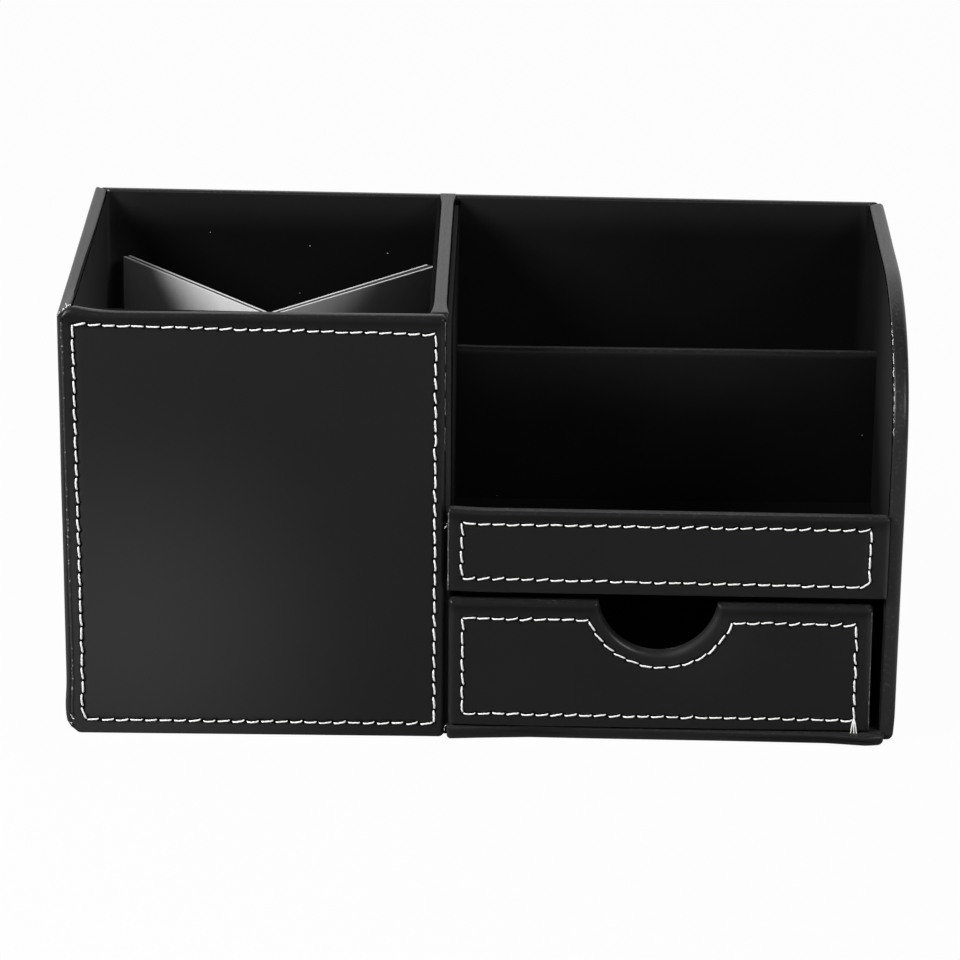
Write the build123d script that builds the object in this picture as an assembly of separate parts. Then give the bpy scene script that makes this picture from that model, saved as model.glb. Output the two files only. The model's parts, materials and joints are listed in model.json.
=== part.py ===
from build123d import *
import math
import os

# Desk organizer: thin boards wrapped in leather and lined with cloth. A pen box with a loose
# cross divider stands on the left; on the right a drawer runs under two upper compartments.
# Millimetres, +X right, +Y to the rear, +Z up, origin at the middle of the underside.

# Overall size
WIDTH = 250.0
DEPTH = 140.0
HEIGHT = 132.0

# Sheet goods
LEATHER = 0.8
LINING = 0.6
FELT = 0.8
TURN_IN = 3.5
EDGE_ROUND = 1.8
ROUND_SHARE = 0.45

# Boards inside the wraps
WALL_BOARD = 2.6
STITCHED_BOARD = 3.1
PARTITION_BOARD = 2.8
LINER_BOARD = 1.4
FLOOR_BOARD = 2.6
BASE_BOARD = 1.6
SHELF_BOARD = 3.4
DIVIDER_BOARD = 2.8

# Pen box
PEN_WIDTH = 114.25
PEN_SETBACK = 2.0
PEN_REVEAL = 0.5
BOTTOM_ROUND = 6.0

# Drawer side of the carcass
BAY_HEIGHT = 42.0
LEDGE_HEIGHT = 25.0
MID_DIVIDER_HEIGHT = 49.0
REAR_POCKET_DEPTH = 53.0
RIGHT_SETBACK = 2.5
RIGHT_CORNER_DEPTH = 62.0
RIGHT_CORNER_HEIGHT = 40.0
RIGHT_LOWER_ROUND = 2.5
LINER_DROP = 3.0
FELT_MARGIN = 3.0

# Drawer
DRAWER_BOX_DROP = 4.2
DRAWER_SIDE = 2.6
DRAWER_FLOOR = 2.0
DRAWER_PAPER = 0.4
DRAWER_LIFT = 0.3
DRAWER_TOP_GAP = 2.0
DRAWER_LEFT_PLAY = 0.3
DRAWER_RIGHT_PLAY = 3.45
DRAWER_REAR_PLAY = 0.3
FINGER_RADIUS = 18.0
FINGER_RISE = 3.1

# Loose cross divider in the pen box
CROSS_SIDE_GAP = 4.625
CROSS_END_GAP = 3.0
CROSS_DROP = 20.2
CROSS_CORE = 1.0
CROSS_FACING = 0.8
CROSS_SHIFT = 1.2
CROSS_LIFT = 0.3
LAP_CLEARANCE = 0.1

# Decorative stitching
STITCH_PITCH = 4.35
STITCH_LENGTH = 3.6
THREAD_WIDTH = 0.8
THREAD_STAND = 0.5
STITCH_INSET = 4.0
PEN_STITCH_RIGHT = 2.4
DRAWER_STITCH_TOP = 6.0
FINGER_STITCH_GAP = 5.4

# Planes worked out from the sizes above
LEFT = -WIDTH / 2
RIGHT = WIDTH / 2
FRONT = -DEPTH / 2
BACK = DEPTH / 2
WALL = LEATHER + WALL_BOARD + LINING
PANEL = THREAD_STAND + LEATHER + STITCHED_BOARD + LINING

PEN_LEFT = LEFT + WALL
PARTITION_RIGHT = LEFT + PEN_WIDTH
PEN_RIGHT = PARTITION_RIGHT - PARTITION_BOARD - 2 * LINING
PEN_FACE = FRONT + PEN_SETBACK + THREAD_STAND
PEN_INNER = FRONT + PEN_SETBACK + PANEL
PEN_FLOOR = FELT + FLOOR_BOARD + LINING
BACK_INNER = BACK - WALL
LINING_TOP = HEIGHT - TURN_IN

BAY_LEFT = PARTITION_RIGHT + LINER_BOARD + LINING
BAY_RIGHT = RIGHT - WALL
PANEL_FACE = FRONT + THREAD_STAND
PANEL_REAR = FRONT + PANEL
BASE_TOP = FELT + 2 * LEATHER + BASE_BOARD
BAY_TOP = BASE_TOP + BAY_HEIGHT
SHELF_TOP = BAY_TOP + SHELF_BOARD + LINING
LEDGE_TOP = BAY_TOP + LEDGE_HEIGHT
MID_REAR = BACK_INNER - REAR_POCKET_DEPTH
MID_FRONT = MID_REAR - DIVIDER_BOARD - 2 * LINING
MID_TOP = SHELF_TOP + MID_DIVIDER_HEIGHT

DRAWER_LEFT = BAY_LEFT + DRAWER_LEFT_PLAY
DRAWER_RIGHT = BAY_RIGHT - DRAWER_RIGHT_PLAY
DRAWER_BOTTOM = BASE_TOP + DRAWER_LIFT
DRAWER_TOP = BAY_TOP - DRAWER_TOP_GAP
DRAWER_BOX_TOP = DRAWER_TOP - DRAWER_BOX_DROP
DRAWER_REAR = BACK_INNER - DRAWER_REAR_PLAY
DRAWER_INSIDE_LEFT = DRAWER_LEFT + DRAWER_PAPER + DRAWER_SIDE + LINING
DRAWER_INSIDE_RIGHT = DRAWER_RIGHT - DRAWER_PAPER - DRAWER_SIDE - LINING
DRAWER_INSIDE_REAR = DRAWER_REAR - DRAWER_PAPER - DRAWER_SIDE - LINING
DRAWER_FLOOR_TOP = DRAWER_BOTTOM + DRAWER_FLOOR
FINGER_X = (DRAWER_LEFT + DRAWER_RIGHT) / 2
FINGER_Z = DRAWER_TOP + FINGER_RISE

CROSS_X = (PEN_LEFT + PEN_RIGHT) / 2 + CROSS_SHIFT
CROSS_Y = (PEN_INNER + BACK_INNER) / 2
CROSS_HALF_WIDTH = (PEN_RIGHT - PEN_LEFT) / 2 - CROSS_SIDE_GAP
CROSS_HALF_DEPTH = (BACK_INNER - PEN_INNER) / 2 - CROSS_END_GAP
CROSS_LOW = PEN_FLOOR + CROSS_LIFT
CROSS_TOP = HEIGHT - CROSS_DROP


def block(x, y, z):
    """A box from its low and high value along each axis."""
    centre = Pos((x[0] + x[1]) / 2, (y[0] + y[1]) / 2, (z[0] + z[1]) / 2)
    return centre * Box(x[1] - x[0], y[1] - y[0], z[1] - z[0])


def round_edge(solid, axis, point, radius):
    """Round the one edge along an axis that lies nearest to a point."""
    edge = solid.edges().filter_by(axis).sort_by_distance(point)[0]
    return fillet(edge, radius)


def round_front(solid, radius):
    """Round the outline of the foremost face, as leather pulled over a board is round."""
    return fillet(solid.faces().sort_by(Axis.Y)[0].edges(), radius)


def round_bottom_left(solid, inset):
    """Trim to the carcass's rounded lower left edge, set in by the depth of a wrap."""
    low = (LEFT + inset, FELT + inset)
    envelope = block((low[0], RIGHT), (FRONT, BACK), (low[1], HEIGHT))
    corner = (low[0], 0, low[1])
    return solid & round_edge(envelope, Axis.Y, corner, BOTTOM_ROUND - inset)


def right_plate(x, inset):
    """The right wall's outline between two X values, set in along its free edges."""
    face = FRONT + RIGHT_SETBACK + inset
    bottom = FELT + inset
    top = HEIGHT - inset
    plate = block(x, (face, BACK_INNER), (bottom, top))
    reach = (RIGHT_CORNER_DEPTH - inset, RIGHT_CORNER_HEIGHT - inset)
    corner = block(x, (face, face + reach[0]), (top - reach[1], top))
    centre = Plane(origin=(x[0], face + reach[0], top - reach[1]), x_dir=(0, 1, 0), z_dir=(1, 0, 0))
    plate -= corner - centre * extrude(Ellipse(*reach), x[1] - x[0])
    lower = max(RIGHT_LOWER_ROUND - inset, EDGE_ROUND)
    return round_edge(plate, Axis.X, (x[0], face, bottom), lower)


def finger_cut(radius, y):
    """The round finger cut-out through the drawer front."""
    length = y[1] - y[0]
    return Pos(FINGER_X, (y[0] + y[1]) / 2, FINGER_Z) * Rot(90, 0, 0) * Cylinder(radius, length)


def stitch(x, z, tangent, face):
    """One stitch lying on a front face, along a tangent in the XZ plane."""
    plane = Plane(origin=(x, face, z), x_dir=(tangent[0], 0, tangent[1]), z_dir=(0, -1, 0))
    return plane * extrude(SlotOverall(STITCH_LENGTH, THREAD_WIDTH), THREAD_STAND)


def stitch_run(start, end, face):
    """Stitches at an even pitch along a straight line from start to end, both (x, z)."""
    dx, dz = end[0] - start[0], end[1] - start[1]
    length = math.hypot(dx, dz)
    count = max(1, round(length / STITCH_PITCH))
    steps = [(index + 0.5) / count for index in range(count)]
    tangent = (dx / length, dz / length)
    return [stitch(start[0] + dx * t, start[1] + dz * t, tangent, face) for t in steps]


def stitch_arc(centre, radius, first, last, face):
    """Stitches at an even pitch along an arc, between two angles in radians."""
    count = max(1, round(radius * abs(last - first) / STITCH_PITCH))
    stitches = []
    for index in range(count):
        angle = first + (last - first) * (index + 0.5) / count
        x = centre[0] + radius * math.cos(angle)
        z = centre[1] + radius * math.sin(angle)
        stitches.append(stitch(x, z, (-math.sin(angle), math.cos(angle)), face))
    return stitches


def stitch_loop(x, z, face):
    """A closed rectangle of stitches."""
    corners = [(x[0], z[0]), (x[1], z[0]), (x[1], z[1]), (x[0], z[1])]
    stitches = []
    for start, end in zip(corners, corners[1:] + corners[:1]):
        stitches += stitch_run(start, end, face)
    return stitches


def pen_front():
    """The stitched front of the pen box: board, leather, lining and thread."""
    x = (LEFT, PARTITION_RIGHT - PEN_REVEAL)
    z = (FELT, HEIGHT)
    board = block((x[0] + LEATHER, x[1] - LEATHER), (PEN_FACE + LEATHER, PEN_INNER - LINING),
                  (z[0] + LEATHER, z[1] - LEATHER))
    board = round_bottom_left(board, LEATHER)
    lining = block((PEN_LEFT, PEN_RIGHT), (PEN_INNER - LINING, PEN_INNER), (PEN_FLOOR, LINING_TOP))
    outside = round_bottom_left(block(x, (PEN_FACE, PEN_INNER), z), 0)
    leather = round_front(outside, EDGE_ROUND) - board - lining
    thread = stitch_loop((x[0] + STITCH_INSET, x[1] - PEN_STITCH_RIGHT),
                         (z[0] + STITCH_INSET, z[1] - STITCH_INSET), PEN_FACE)
    return {
        "pen_front_board": board,
        "pen_front_leather": leather,
        "pen_front_lining": lining,
        "pen_front_stitching": Compound(children=thread),
    }


def left_wall():
    """The pen box's left wall, with its rounded lower edge."""
    y = (PEN_INNER, BACK_INNER)
    board = block((LEFT + LEATHER, PEN_LEFT - LINING), y, (FELT + LEATHER, HEIGHT - LEATHER))
    board = round_bottom_left(board, LEATHER)
    lining = block((PEN_LEFT - LINING, PEN_LEFT), y, (FELT + LEATHER, LINING_TOP))
    outside = block((LEFT, PEN_LEFT), y, (FELT, HEIGHT))
    outside = round_edge(outside, Axis.Y, (LEFT, 0, HEIGHT), EDGE_ROUND)
    leather = round_bottom_left(outside, 0) - board - lining
    return {"left_wall_board": board, "left_wall_leather": leather, "pen_left_lining": lining}


def partition():
    """The wall between the pen box and the drawer side, with a thin card on the drawer side."""
    y = (PEN_INNER, BACK_INNER)
    core = (PEN_RIGHT + LINING, PARTITION_RIGHT - LINING)
    board = block(core, y, (FELT, HEIGHT - LEATHER))
    lining = block((PEN_RIGHT, core[0]), y, (FELT, LINING_TOP))
    card_top = HEIGHT - LINER_DROP
    card = block((PARTITION_RIGHT, BAY_LEFT - LINING), y, (FELT, card_top))
    card_lining = block((BAY_LEFT - LINING, BAY_LEFT), y, (FELT, card_top))
    cap = block((PEN_RIGHT, PARTITION_RIGHT), y, (FELT, HEIGHT))
    for x in (PEN_RIGHT, PARTITION_RIGHT):
        cap = round_edge(cap, Axis.Y, (x, 0, HEIGHT), EDGE_ROUND)
    return {
        "partition_board": board,
        "partition_leather": cap - board - lining,
        "pen_right_lining": lining,
        "bay_liner_board": card,
        "letter_left_lining": card_lining,
    }


def back_panel():
    """The full-width back, lined on the inside of the pen box and of the drawer side."""
    board = block((LEFT + LEATHER, RIGHT - LEATHER), (BACK_INNER + LINING, BACK - LEATHER),
                  (FELT + LEATHER, HEIGHT - LEATHER))
    board = round_bottom_left(board, LEATHER)
    depth = (BACK_INNER, BACK_INNER + LINING)
    pen_lining = block((PEN_LEFT, PEN_RIGHT), depth, (PEN_FLOOR, LINING_TOP))
    letter_lining = block((BAY_LEFT, BAY_RIGHT), depth, (BASE_TOP, LINING_TOP))
    outside = round_bottom_left(block((LEFT, RIGHT), (BACK_INNER, BACK), (FELT, HEIGHT)), 0)
    outside = fillet(outside.faces().sort_by(Axis.Y)[-1].edges(), EDGE_ROUND)
    return {
        "back_board": board,
        "back_leather": outside - board - pen_lining - letter_lining,
        "pen_back_lining": pen_lining,
        "letter_back_lining": letter_lining,
    }


def right_wall():
    """The right wall, whose upper front corner is a long oval sweep."""
    inner = (BAY_RIGHT, BAY_RIGHT + LINING)
    board = right_plate((inner[1], RIGHT - LEATHER), LEATHER)
    lining = right_plate(inner, TURN_IN)
    outside = right_plate((BAY_RIGHT, RIGHT), 0)
    outline = outside.faces().sort_by(Axis.X)[-1].edges().sort_by(Axis.Y)[:-1]
    outside = fillet(outline, EDGE_ROUND)
    return {
        "right_wall_board": board,
        "right_wall_leather": outside - board - lining,
        "letter_right_lining": lining,
    }


def floors():
    """Pen box floor, carcass base under the drawer, and the felt that the part stands on."""
    pen_x = (PEN_LEFT, PEN_RIGHT)
    pen_y = (PEN_INNER, BACK_INNER)
    bay_x = (BAY_LEFT, BAY_RIGHT)
    base = block(bay_x, (PANEL_FACE + LEATHER, BACK_INNER), (FELT + LEATHER, BASE_TOP - LEATHER))
    wrap_round = min(EDGE_ROUND, ROUND_SHARE * (BASE_TOP - FELT))
    wrap = round_front(block(bay_x, (PANEL_FACE, BACK_INNER), (FELT, BASE_TOP)), wrap_round)
    felt_x = (LEFT + BOTTOM_ROUND, RIGHT - RIGHT_LOWER_ROUND - FELT_MARGIN)
    felt_y = (PEN_FACE + FELT_MARGIN, BACK - FELT_MARGIN)
    return {
        "pen_floor_board": block(pen_x, pen_y, (FELT, PEN_FLOOR - LINING)),
        "pen_floor_lining": block(pen_x, pen_y, (PEN_FLOOR - LINING, PEN_FLOOR)),
        "base_board": base,
        "base_leather": wrap - base,
        "base_felt": block(felt_x, felt_y, (0, FELT)),
    }


def upper_compartments():
    """Shelf over the drawer, stitched ledge at its front, and the divider between two pockets."""
    x = (BAY_LEFT, BAY_RIGHT)
    y = (PANEL_REAR, BACK_INNER)
    ledge = block((x[0] + LEATHER, x[1] - LEATHER), (PANEL_FACE + LEATHER, PANEL_REAR - LINING),
                  (BAY_TOP + LEATHER, LEDGE_TOP - LEATHER))
    ledge_lining = block(x, (PANEL_REAR - LINING, PANEL_REAR), (SHELF_TOP, LEDGE_TOP - TURN_IN))
    wrap = round_front(block(x, (PANEL_FACE, PANEL_REAR), (BAY_TOP, LEDGE_TOP)), EDGE_ROUND)
    thread = stitch_loop((x[0] + STITCH_INSET, x[1] - STITCH_INSET),
                         (BAY_TOP + STITCH_INSET, LEDGE_TOP - STITCH_INSET), PANEL_FACE)
    mid = block(x, (MID_FRONT + LINING, MID_REAR - LINING), (SHELF_TOP, MID_TOP - LINING))
    mid_cover = block(x, (MID_FRONT, MID_REAR), (SHELF_TOP, MID_TOP))
    mid_round = min(EDGE_ROUND, ROUND_SHARE * (MID_REAR - MID_FRONT))
    for face in (MID_FRONT, MID_REAR):
        mid_cover = round_edge(mid_cover, Axis.X, (0, face, MID_TOP), mid_round)
    return {
        "shelf_board": block(x, y, (BAY_TOP, SHELF_TOP - LINING)),
        "shelf_lining": block(x, y, (SHELF_TOP - LINING, SHELF_TOP)),
        "ledge_board": ledge,
        "ledge_leather": wrap - ledge - ledge_lining,
        "ledge_lining": ledge_lining,
        "ledge_stitching": Compound(children=thread),
        "mid_divider_board": mid,
        "mid_divider_cover": mid_cover - mid,
    }


def drawer_stitching():
    """Thread round the drawer front, dipping under the finger cut-out."""
    left = DRAWER_LEFT + STITCH_INSET
    right = DRAWER_RIGHT - STITCH_INSET
    low = DRAWER_BOTTOM + STITCH_INSET
    high = DRAWER_TOP - DRAWER_STITCH_TOP
    radius = FINGER_RADIUS + FINGER_STITCH_GAP
    dip = math.asin((FINGER_Z - high) / radius)
    reach = radius * math.cos(dip)
    stitches = stitch_run((left, low), (right, low), PANEL_FACE)
    stitches += stitch_run((right, low), (right, high), PANEL_FACE)
    stitches += stitch_run((right, high), (FINGER_X + reach, high), PANEL_FACE)
    stitches += stitch_arc((FINGER_X, FINGER_Z), radius, -dip, dip - math.pi, PANEL_FACE)
    stitches += stitch_run((FINGER_X - reach, high), (left, high), PANEL_FACE)
    stitches += stitch_run((left, high), (left, low), PANEL_FACE)
    return Compound(children=stitches)


def drawer_front():
    """The drawer's stitched front with its finger cut-out."""
    x = (DRAWER_LEFT, DRAWER_RIGHT)
    z = (DRAWER_BOTTOM, DRAWER_TOP)
    y = (PANEL_FACE, PANEL_REAR)
    board_y = (PANEL_FACE + LEATHER, PANEL_REAR - LINING)
    board = block((x[0] + LEATHER, x[1] - LEATHER), board_y, (z[0] + LEATHER, z[1] - LEATHER))
    board -= finger_cut(FINGER_RADIUS + LEATHER, board_y)
    lining = block((DRAWER_INSIDE_LEFT, DRAWER_INSIDE_RIGHT), (PANEL_REAR - LINING, PANEL_REAR),
                   (DRAWER_FLOOR_TOP, DRAWER_BOX_TOP))
    lining -= finger_cut(FINGER_RADIUS + TURN_IN, y)
    outside = round_front(block(x, y, z) - finger_cut(FINGER_RADIUS, y), EDGE_ROUND)
    return {
        "drawer_front_board": board,
        "drawer_front_leather": outside - board - lining,
        "drawer_front_lining": lining,
        "drawer_front_stitching": drawer_stitching(),
    }


def drawer_box():
    """The drawer's floor, sides and back, with paper outside and cloth inside."""
    x = (DRAWER_LEFT, DRAWER_RIGHT)
    y = (PANEL_REAR, DRAWER_REAR)
    walls = (DRAWER_FLOOR_TOP, DRAWER_BOX_TOP)
    side_y = (y[0], y[1] - DRAWER_PAPER)
    left = block((x[0] + DRAWER_PAPER, DRAWER_INSIDE_LEFT - LINING), side_y, walls)
    right = block((DRAWER_INSIDE_RIGHT + LINING, x[1] - DRAWER_PAPER), side_y, walls)
    between = (DRAWER_INSIDE_LEFT - LINING, DRAWER_INSIDE_RIGHT + LINING)
    rear = block(between, (DRAWER_INSIDE_REAR + LINING, side_y[1]), walls)
    core = block((x[0] + DRAWER_PAPER, x[1] - DRAWER_PAPER), side_y, walls)
    inside_x = (DRAWER_INSIDE_LEFT, DRAWER_INSIDE_RIGHT)
    inside_y = (y[0], DRAWER_INSIDE_REAR)
    floor_lining = block(inside_x, inside_y, (walls[0], walls[0] + LINING))
    lined = (walls[0] + LINING, walls[1])
    return {
        "drawer_floor": block(x, y, (DRAWER_BOTTOM, DRAWER_FLOOR_TOP)),
        "drawer_left_side": left,
        "drawer_right_side": right,
        "drawer_back_panel": rear,
        "drawer_wrap": block(x, y, walls) - core,
        "drawer_floor_lining": floor_lining,
        "drawer_left_lining": block((between[0], inside_x[0]), inside_y, walls),
        "drawer_right_lining": block((inside_x[1], between[1]), inside_y, walls),
        "drawer_back_lining": block(inside_x, (inside_y[1], inside_y[1] + LINING), lined),
    }


def cross_sheet(turn, low, high, offset, thickness):
    """One upright sheet of the cross, turned about the crossing and set off from its middle."""
    length = 2 * math.hypot(CROSS_HALF_WIDTH, CROSS_HALF_DEPTH)
    sheet = Pos(0, offset, 0) * Box(length, thickness, high - low)
    return Pos(CROSS_X, CROSS_Y, (low + high) / 2) * Rot(0, 0, turn) * sheet


def pen_divider():
    """Two faced cards that cross, each slotted over half its height to take the other."""
    middle = (CROSS_LOW + CROSS_TOP) / 2
    turn = math.degrees(math.atan2(CROSS_HALF_DEPTH, CROSS_HALF_WIDTH))
    whole = CROSS_CORE + 2 * CROSS_FACING
    facing_offset = (CROSS_CORE + CROSS_FACING) / 2
    slot_width = whole + 2 * LAP_CLEARANCE
    slots = {
        "a": cross_sheet(-turn, middle - LAP_CLEARANCE, CROSS_TOP, 0, slot_width),
        "b": cross_sheet(turn, CROSS_LOW, middle + LAP_CLEARANCE, 0, slot_width),
    }
    turns = {"a": turn, "b": -turn}
    nodes = {}
    for name in ("a", "b"):
        core = cross_sheet(turns[name], CROSS_LOW, CROSS_TOP, 0, CROSS_CORE)
        faces = [cross_sheet(turns[name], CROSS_LOW, CROSS_TOP, side * facing_offset, CROSS_FACING)
                 for side in (-1, 1)]
        nodes["divider_board_" + name] = core - slots[name]
        nodes["divider_facings_" + name] = Compound(children=[face - slots[name] for face in faces])
    return nodes


def build():
    """Every named piece of the organizer."""
    nodes = {}
    for make in (pen_front, left_wall, partition, back_panel, right_wall, floors,
                 upper_compartments, drawer_front, drawer_box, pen_divider):
        nodes.update(make())
    return nodes


os.makedirs("parts", exist_ok=True)
for node, shape in build().items():
    export_step(shape, "parts/" + node + ".step")
    print(node, "solids", len(shape.solids()), "volume", round(shape.volume, 1))
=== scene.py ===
# %% [markdown]
# # Desk organizer with drawer
#
# The organizer is a box of thin boards wrapped in black imitation leather, with white stitching round
# its front panels. Its construction is already settled in CAD and arrives here as a frame of named
# nodes, each riding on a body: the carcass, the drawer or the loose pen divider. This lesson dresses
# that frame. Every surface gets its finish, and the plain leather solids give way to meshes with soft
# edges, puckered seams and real stitches.

# %% Load the frame
import json
import math

import bmesh
import bpy
import numpy as np
from mathutils import Matrix, Vector

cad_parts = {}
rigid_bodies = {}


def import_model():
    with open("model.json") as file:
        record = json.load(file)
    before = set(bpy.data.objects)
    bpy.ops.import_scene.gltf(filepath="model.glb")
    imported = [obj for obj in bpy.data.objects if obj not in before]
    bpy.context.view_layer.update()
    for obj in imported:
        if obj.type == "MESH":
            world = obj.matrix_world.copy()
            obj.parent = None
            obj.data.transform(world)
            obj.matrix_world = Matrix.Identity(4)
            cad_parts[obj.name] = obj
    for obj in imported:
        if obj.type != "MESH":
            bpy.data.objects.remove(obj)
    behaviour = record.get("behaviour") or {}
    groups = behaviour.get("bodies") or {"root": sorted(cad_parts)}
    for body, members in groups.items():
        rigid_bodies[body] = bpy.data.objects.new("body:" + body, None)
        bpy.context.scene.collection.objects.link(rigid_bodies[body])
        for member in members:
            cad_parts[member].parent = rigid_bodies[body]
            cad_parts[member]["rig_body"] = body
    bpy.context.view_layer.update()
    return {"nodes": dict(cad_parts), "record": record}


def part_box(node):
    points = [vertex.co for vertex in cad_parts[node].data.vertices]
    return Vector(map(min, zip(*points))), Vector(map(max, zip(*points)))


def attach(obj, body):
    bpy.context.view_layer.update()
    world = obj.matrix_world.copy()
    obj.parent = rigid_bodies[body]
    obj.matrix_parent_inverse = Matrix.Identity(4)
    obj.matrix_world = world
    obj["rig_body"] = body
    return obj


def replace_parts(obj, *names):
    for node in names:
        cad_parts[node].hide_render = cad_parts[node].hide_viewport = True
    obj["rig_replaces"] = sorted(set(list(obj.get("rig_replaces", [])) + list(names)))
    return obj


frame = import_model()
MM = 0.001
dice = np.random.default_rng(7)

# %% [markdown]
# ## Camera
#
# The photograph was taken almost straight ahead, a little from above and with a long lens, so the
# sides hardly open up. A camera can be placed by eye, but here its angles, its distance and its focal
# length come from measured corners of the box, so the render can be laid over the photograph.

# %% Camera
IMAGE_PIXELS = 960
FOCAL_PIXELS = 5239
SENSOR_MM = 36
CAMERA_AZIMUTH = math.radians(0.62)
CAMERA_ELEVATION = math.radians(19.05)
CAMERA_ROLL = math.radians(0.4)
CAMERA_DISTANCE = 1.5576
CAMERA_AIM = Vector((-0.0005, -0.068, 0.0826))


def camera_axes():
    """The camera's right, up and backward directions."""
    flat = math.cos(CAMERA_ELEVATION)
    back = Vector((math.sin(CAMERA_AZIMUTH) * flat, -math.cos(CAMERA_AZIMUTH) * flat,
                   math.sin(CAMERA_ELEVATION)))
    level = Vector((0, 0, 1)).cross(back).normalized()
    rise = back.cross(level)
    right = math.cos(CAMERA_ROLL) * level + math.sin(CAMERA_ROLL) * rise
    up = math.cos(CAMERA_ROLL) * rise - math.sin(CAMERA_ROLL) * level
    return right, up, back


def place_camera():
    right, up, back = camera_axes()
    lens = bpy.data.cameras.new("camera")
    lens.sensor_width = SENSOR_MM
    lens.lens = FOCAL_PIXELS * SENSOR_MM / IMAGE_PIXELS
    camera = bpy.data.objects.new("camera", lens)
    turn = Matrix((right, up, back)).transposed().to_4x4()
    camera.matrix_world = Matrix.Translation(CAMERA_AIM + CAMERA_DISTANCE * back) @ turn
    bpy.context.scene.collection.objects.link(camera)
    bpy.context.scene.camera = camera
    return camera


camera = place_camera()
bpy.context.scene.view_settings.view_transform = "Standard"
print("camera stands at", [round(value, 4) for value in camera.matrix_world.translation])

# %% [markdown]
# ## Arithmetic on shader sockets
#
# A material is a graph of nodes, and wiring its sums by hand hides what they mean. This small class
# wraps a socket so that `1 - mask` or `0.4 + 0.1 * cloud` adds the Math nodes by itself. Every other
# node comes from one method, which sets the node's settings first and then its sockets.

# %% Shader wires
class Wire:
    """A shader socket that takes part in plain arithmetic."""

    def __init__(self, tree, socket):
        self.tree = tree
        self.socket = socket

    def feed(self, target, value):
        """Links a wire to a socket, or sets a plain value on it."""
        if isinstance(value, Wire):
            self.tree.links.new(value.socket, target)
        else:
            target.default_value = value

    def node(self, kind, settings, sockets, output=0):
        """Adds a node with its settings, then the values or links of its sockets."""
        made = self.tree.nodes.new(kind)
        for name, value in settings.items():
            setattr(made, name, value)
        for name, value in sockets.items():
            self.feed(made.inputs[name], value)
        return Wire(self.tree, made.outputs[output])

    def math(self, operation, first, second):
        return self.node("ShaderNodeMath", {"operation": operation}, {0: first, 1: second})

    def __add__(self, other):
        return self.math("ADD", self, other)

    def __radd__(self, other):
        return self.math("ADD", other, self)

    def __sub__(self, other):
        return self.math("SUBTRACT", self, other)

    def __rsub__(self, other):
        return self.math("SUBTRACT", other, self)

    def __mul__(self, other):
        return self.math("MULTIPLY", self, other)

    def __rmul__(self, other):
        return self.math("MULTIPLY", other, self)


print("wires take part in +, - and *")

# %% Patterns and masks
def new_finish(name):
    """A new material, its shader, and the wire of the place on the piece in metres."""
    finish = bpy.data.materials.new(name)
    finish.use_nodes = True
    tree = finish.node_tree
    place = Wire(tree, None).node("ShaderNodeTexCoord", {}, {}, "Object")
    return finish, tree.nodes["Principled BSDF"], place


def noise(place, scale, detail=2.0, roughness=0.5):
    sockets = {"Vector": place, "Scale": scale, "Detail": detail, "Roughness": roughness}
    return place.node("ShaderNodeTexNoise", {}, sockets)


def cells(place, scale, smoothness=0.5):
    sockets = {"Vector": place, "Scale": scale, "Smoothness": smoothness}
    return place.node("ShaderNodeTexVoronoi", {"feature": "SMOOTH_F1"}, sockets)


def step(value, low, high):
    """0 below low, 1 above high, and a soft step between them."""
    sockets = {"Value": value, "From Min": low, "From Max": high}
    return value.node("ShaderNodeMapRange", {"interpolation_type": "SMOOTHSTEP"}, sockets)


def tint(mask, plain, marked):
    """The plain colour where the mask is 0 and the marked colour where it is 1."""
    return mask.node("ShaderNodeMix", {"data_type": "RGBA"}, {0: mask, 6: plain, 7: marked}, 2)


def stretched(place, factors):
    """The same place with each direction scaled, for fibres that run one way."""
    return place.node("ShaderNodeVectorMath", {"operation": "MULTIPLY"}, {0: place, 1: factors})


def part_of(place, vector, axis):
    """One axis of a vector."""
    return place.node("ShaderNodeSeparateXYZ", {}, {"Vector": vector}, axis)


print("patterns and masks ready")

# %% Helpers for shaders
def relief(height, strength, depth):
    """A bump of the given height, at most depth millimetres deep."""
    sockets = {"Height": height, "Strength": strength, "Distance": depth * MM}
    return height.node("ShaderNodeBump", {}, sockets)


def attribute(place, name):
    """A number that the mesh code stored on the piece's points."""
    return place.node("ShaderNodeAttribute", {"attribute_name": name}, {}, "Fac")


def set_shader(place, shader, **sockets):
    """Sets shader sockets by their names, with _ for a space."""
    for name, value in sockets.items():
        place.feed(shader.inputs[name.replace("_", " ")], value)


def mix_surface(place, shader, other, share):
    """Shows the shader where the share is 0, and the other one where it is 1."""
    sockets = {0: share, 1: Wire(place.tree, shader.outputs[0]), 2: other}
    mixed = place.node("ShaderNodeMixShader", {}, sockets)
    place.feed(place.tree.nodes["Material Output"].inputs["Surface"], mixed)


def grey(level, warmth=0.0):
    """A linear colour of one grey level, a little warm or cold."""
    return (level * (1 + warmth), level, level * (1 - warmth), 1)


print("shader helpers ready")

# %% [markdown]
# ## Studio
#
# The object stands on a white sweep: a floor that curves up into a backdrop. The sweep keeps a pale
# shadow, and where the camera looks at it, most of it is plain white light. A reflection sees that
# light on the backdrop and on the floor beside the box, so the top edges and the upright corners shine
# and the front panels stay dark. Bigger lamps would also whiten the floor, but they would wash out the
# object. The backdrop stands far enough away to walk round behind the object.

# %% Floor and backdrop
SWEEP_HALF_WIDTH = 7.2
SWEEP_FRONT = -7.8
SWEEP_REAR = 3.45
SWEEP_CURVE = 1.05
SWEEP_TOP = 5.7
SWEEP_CURVE_STEPS = 16
FLOOR_WHITE = grey(0.36)
FLOOR_GLOW = 0.97
WALL_FOOT = 0.06
WALL_GLOW_FROM = 0.45
SIDE_GLOW = (0.13, 0.19)


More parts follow.
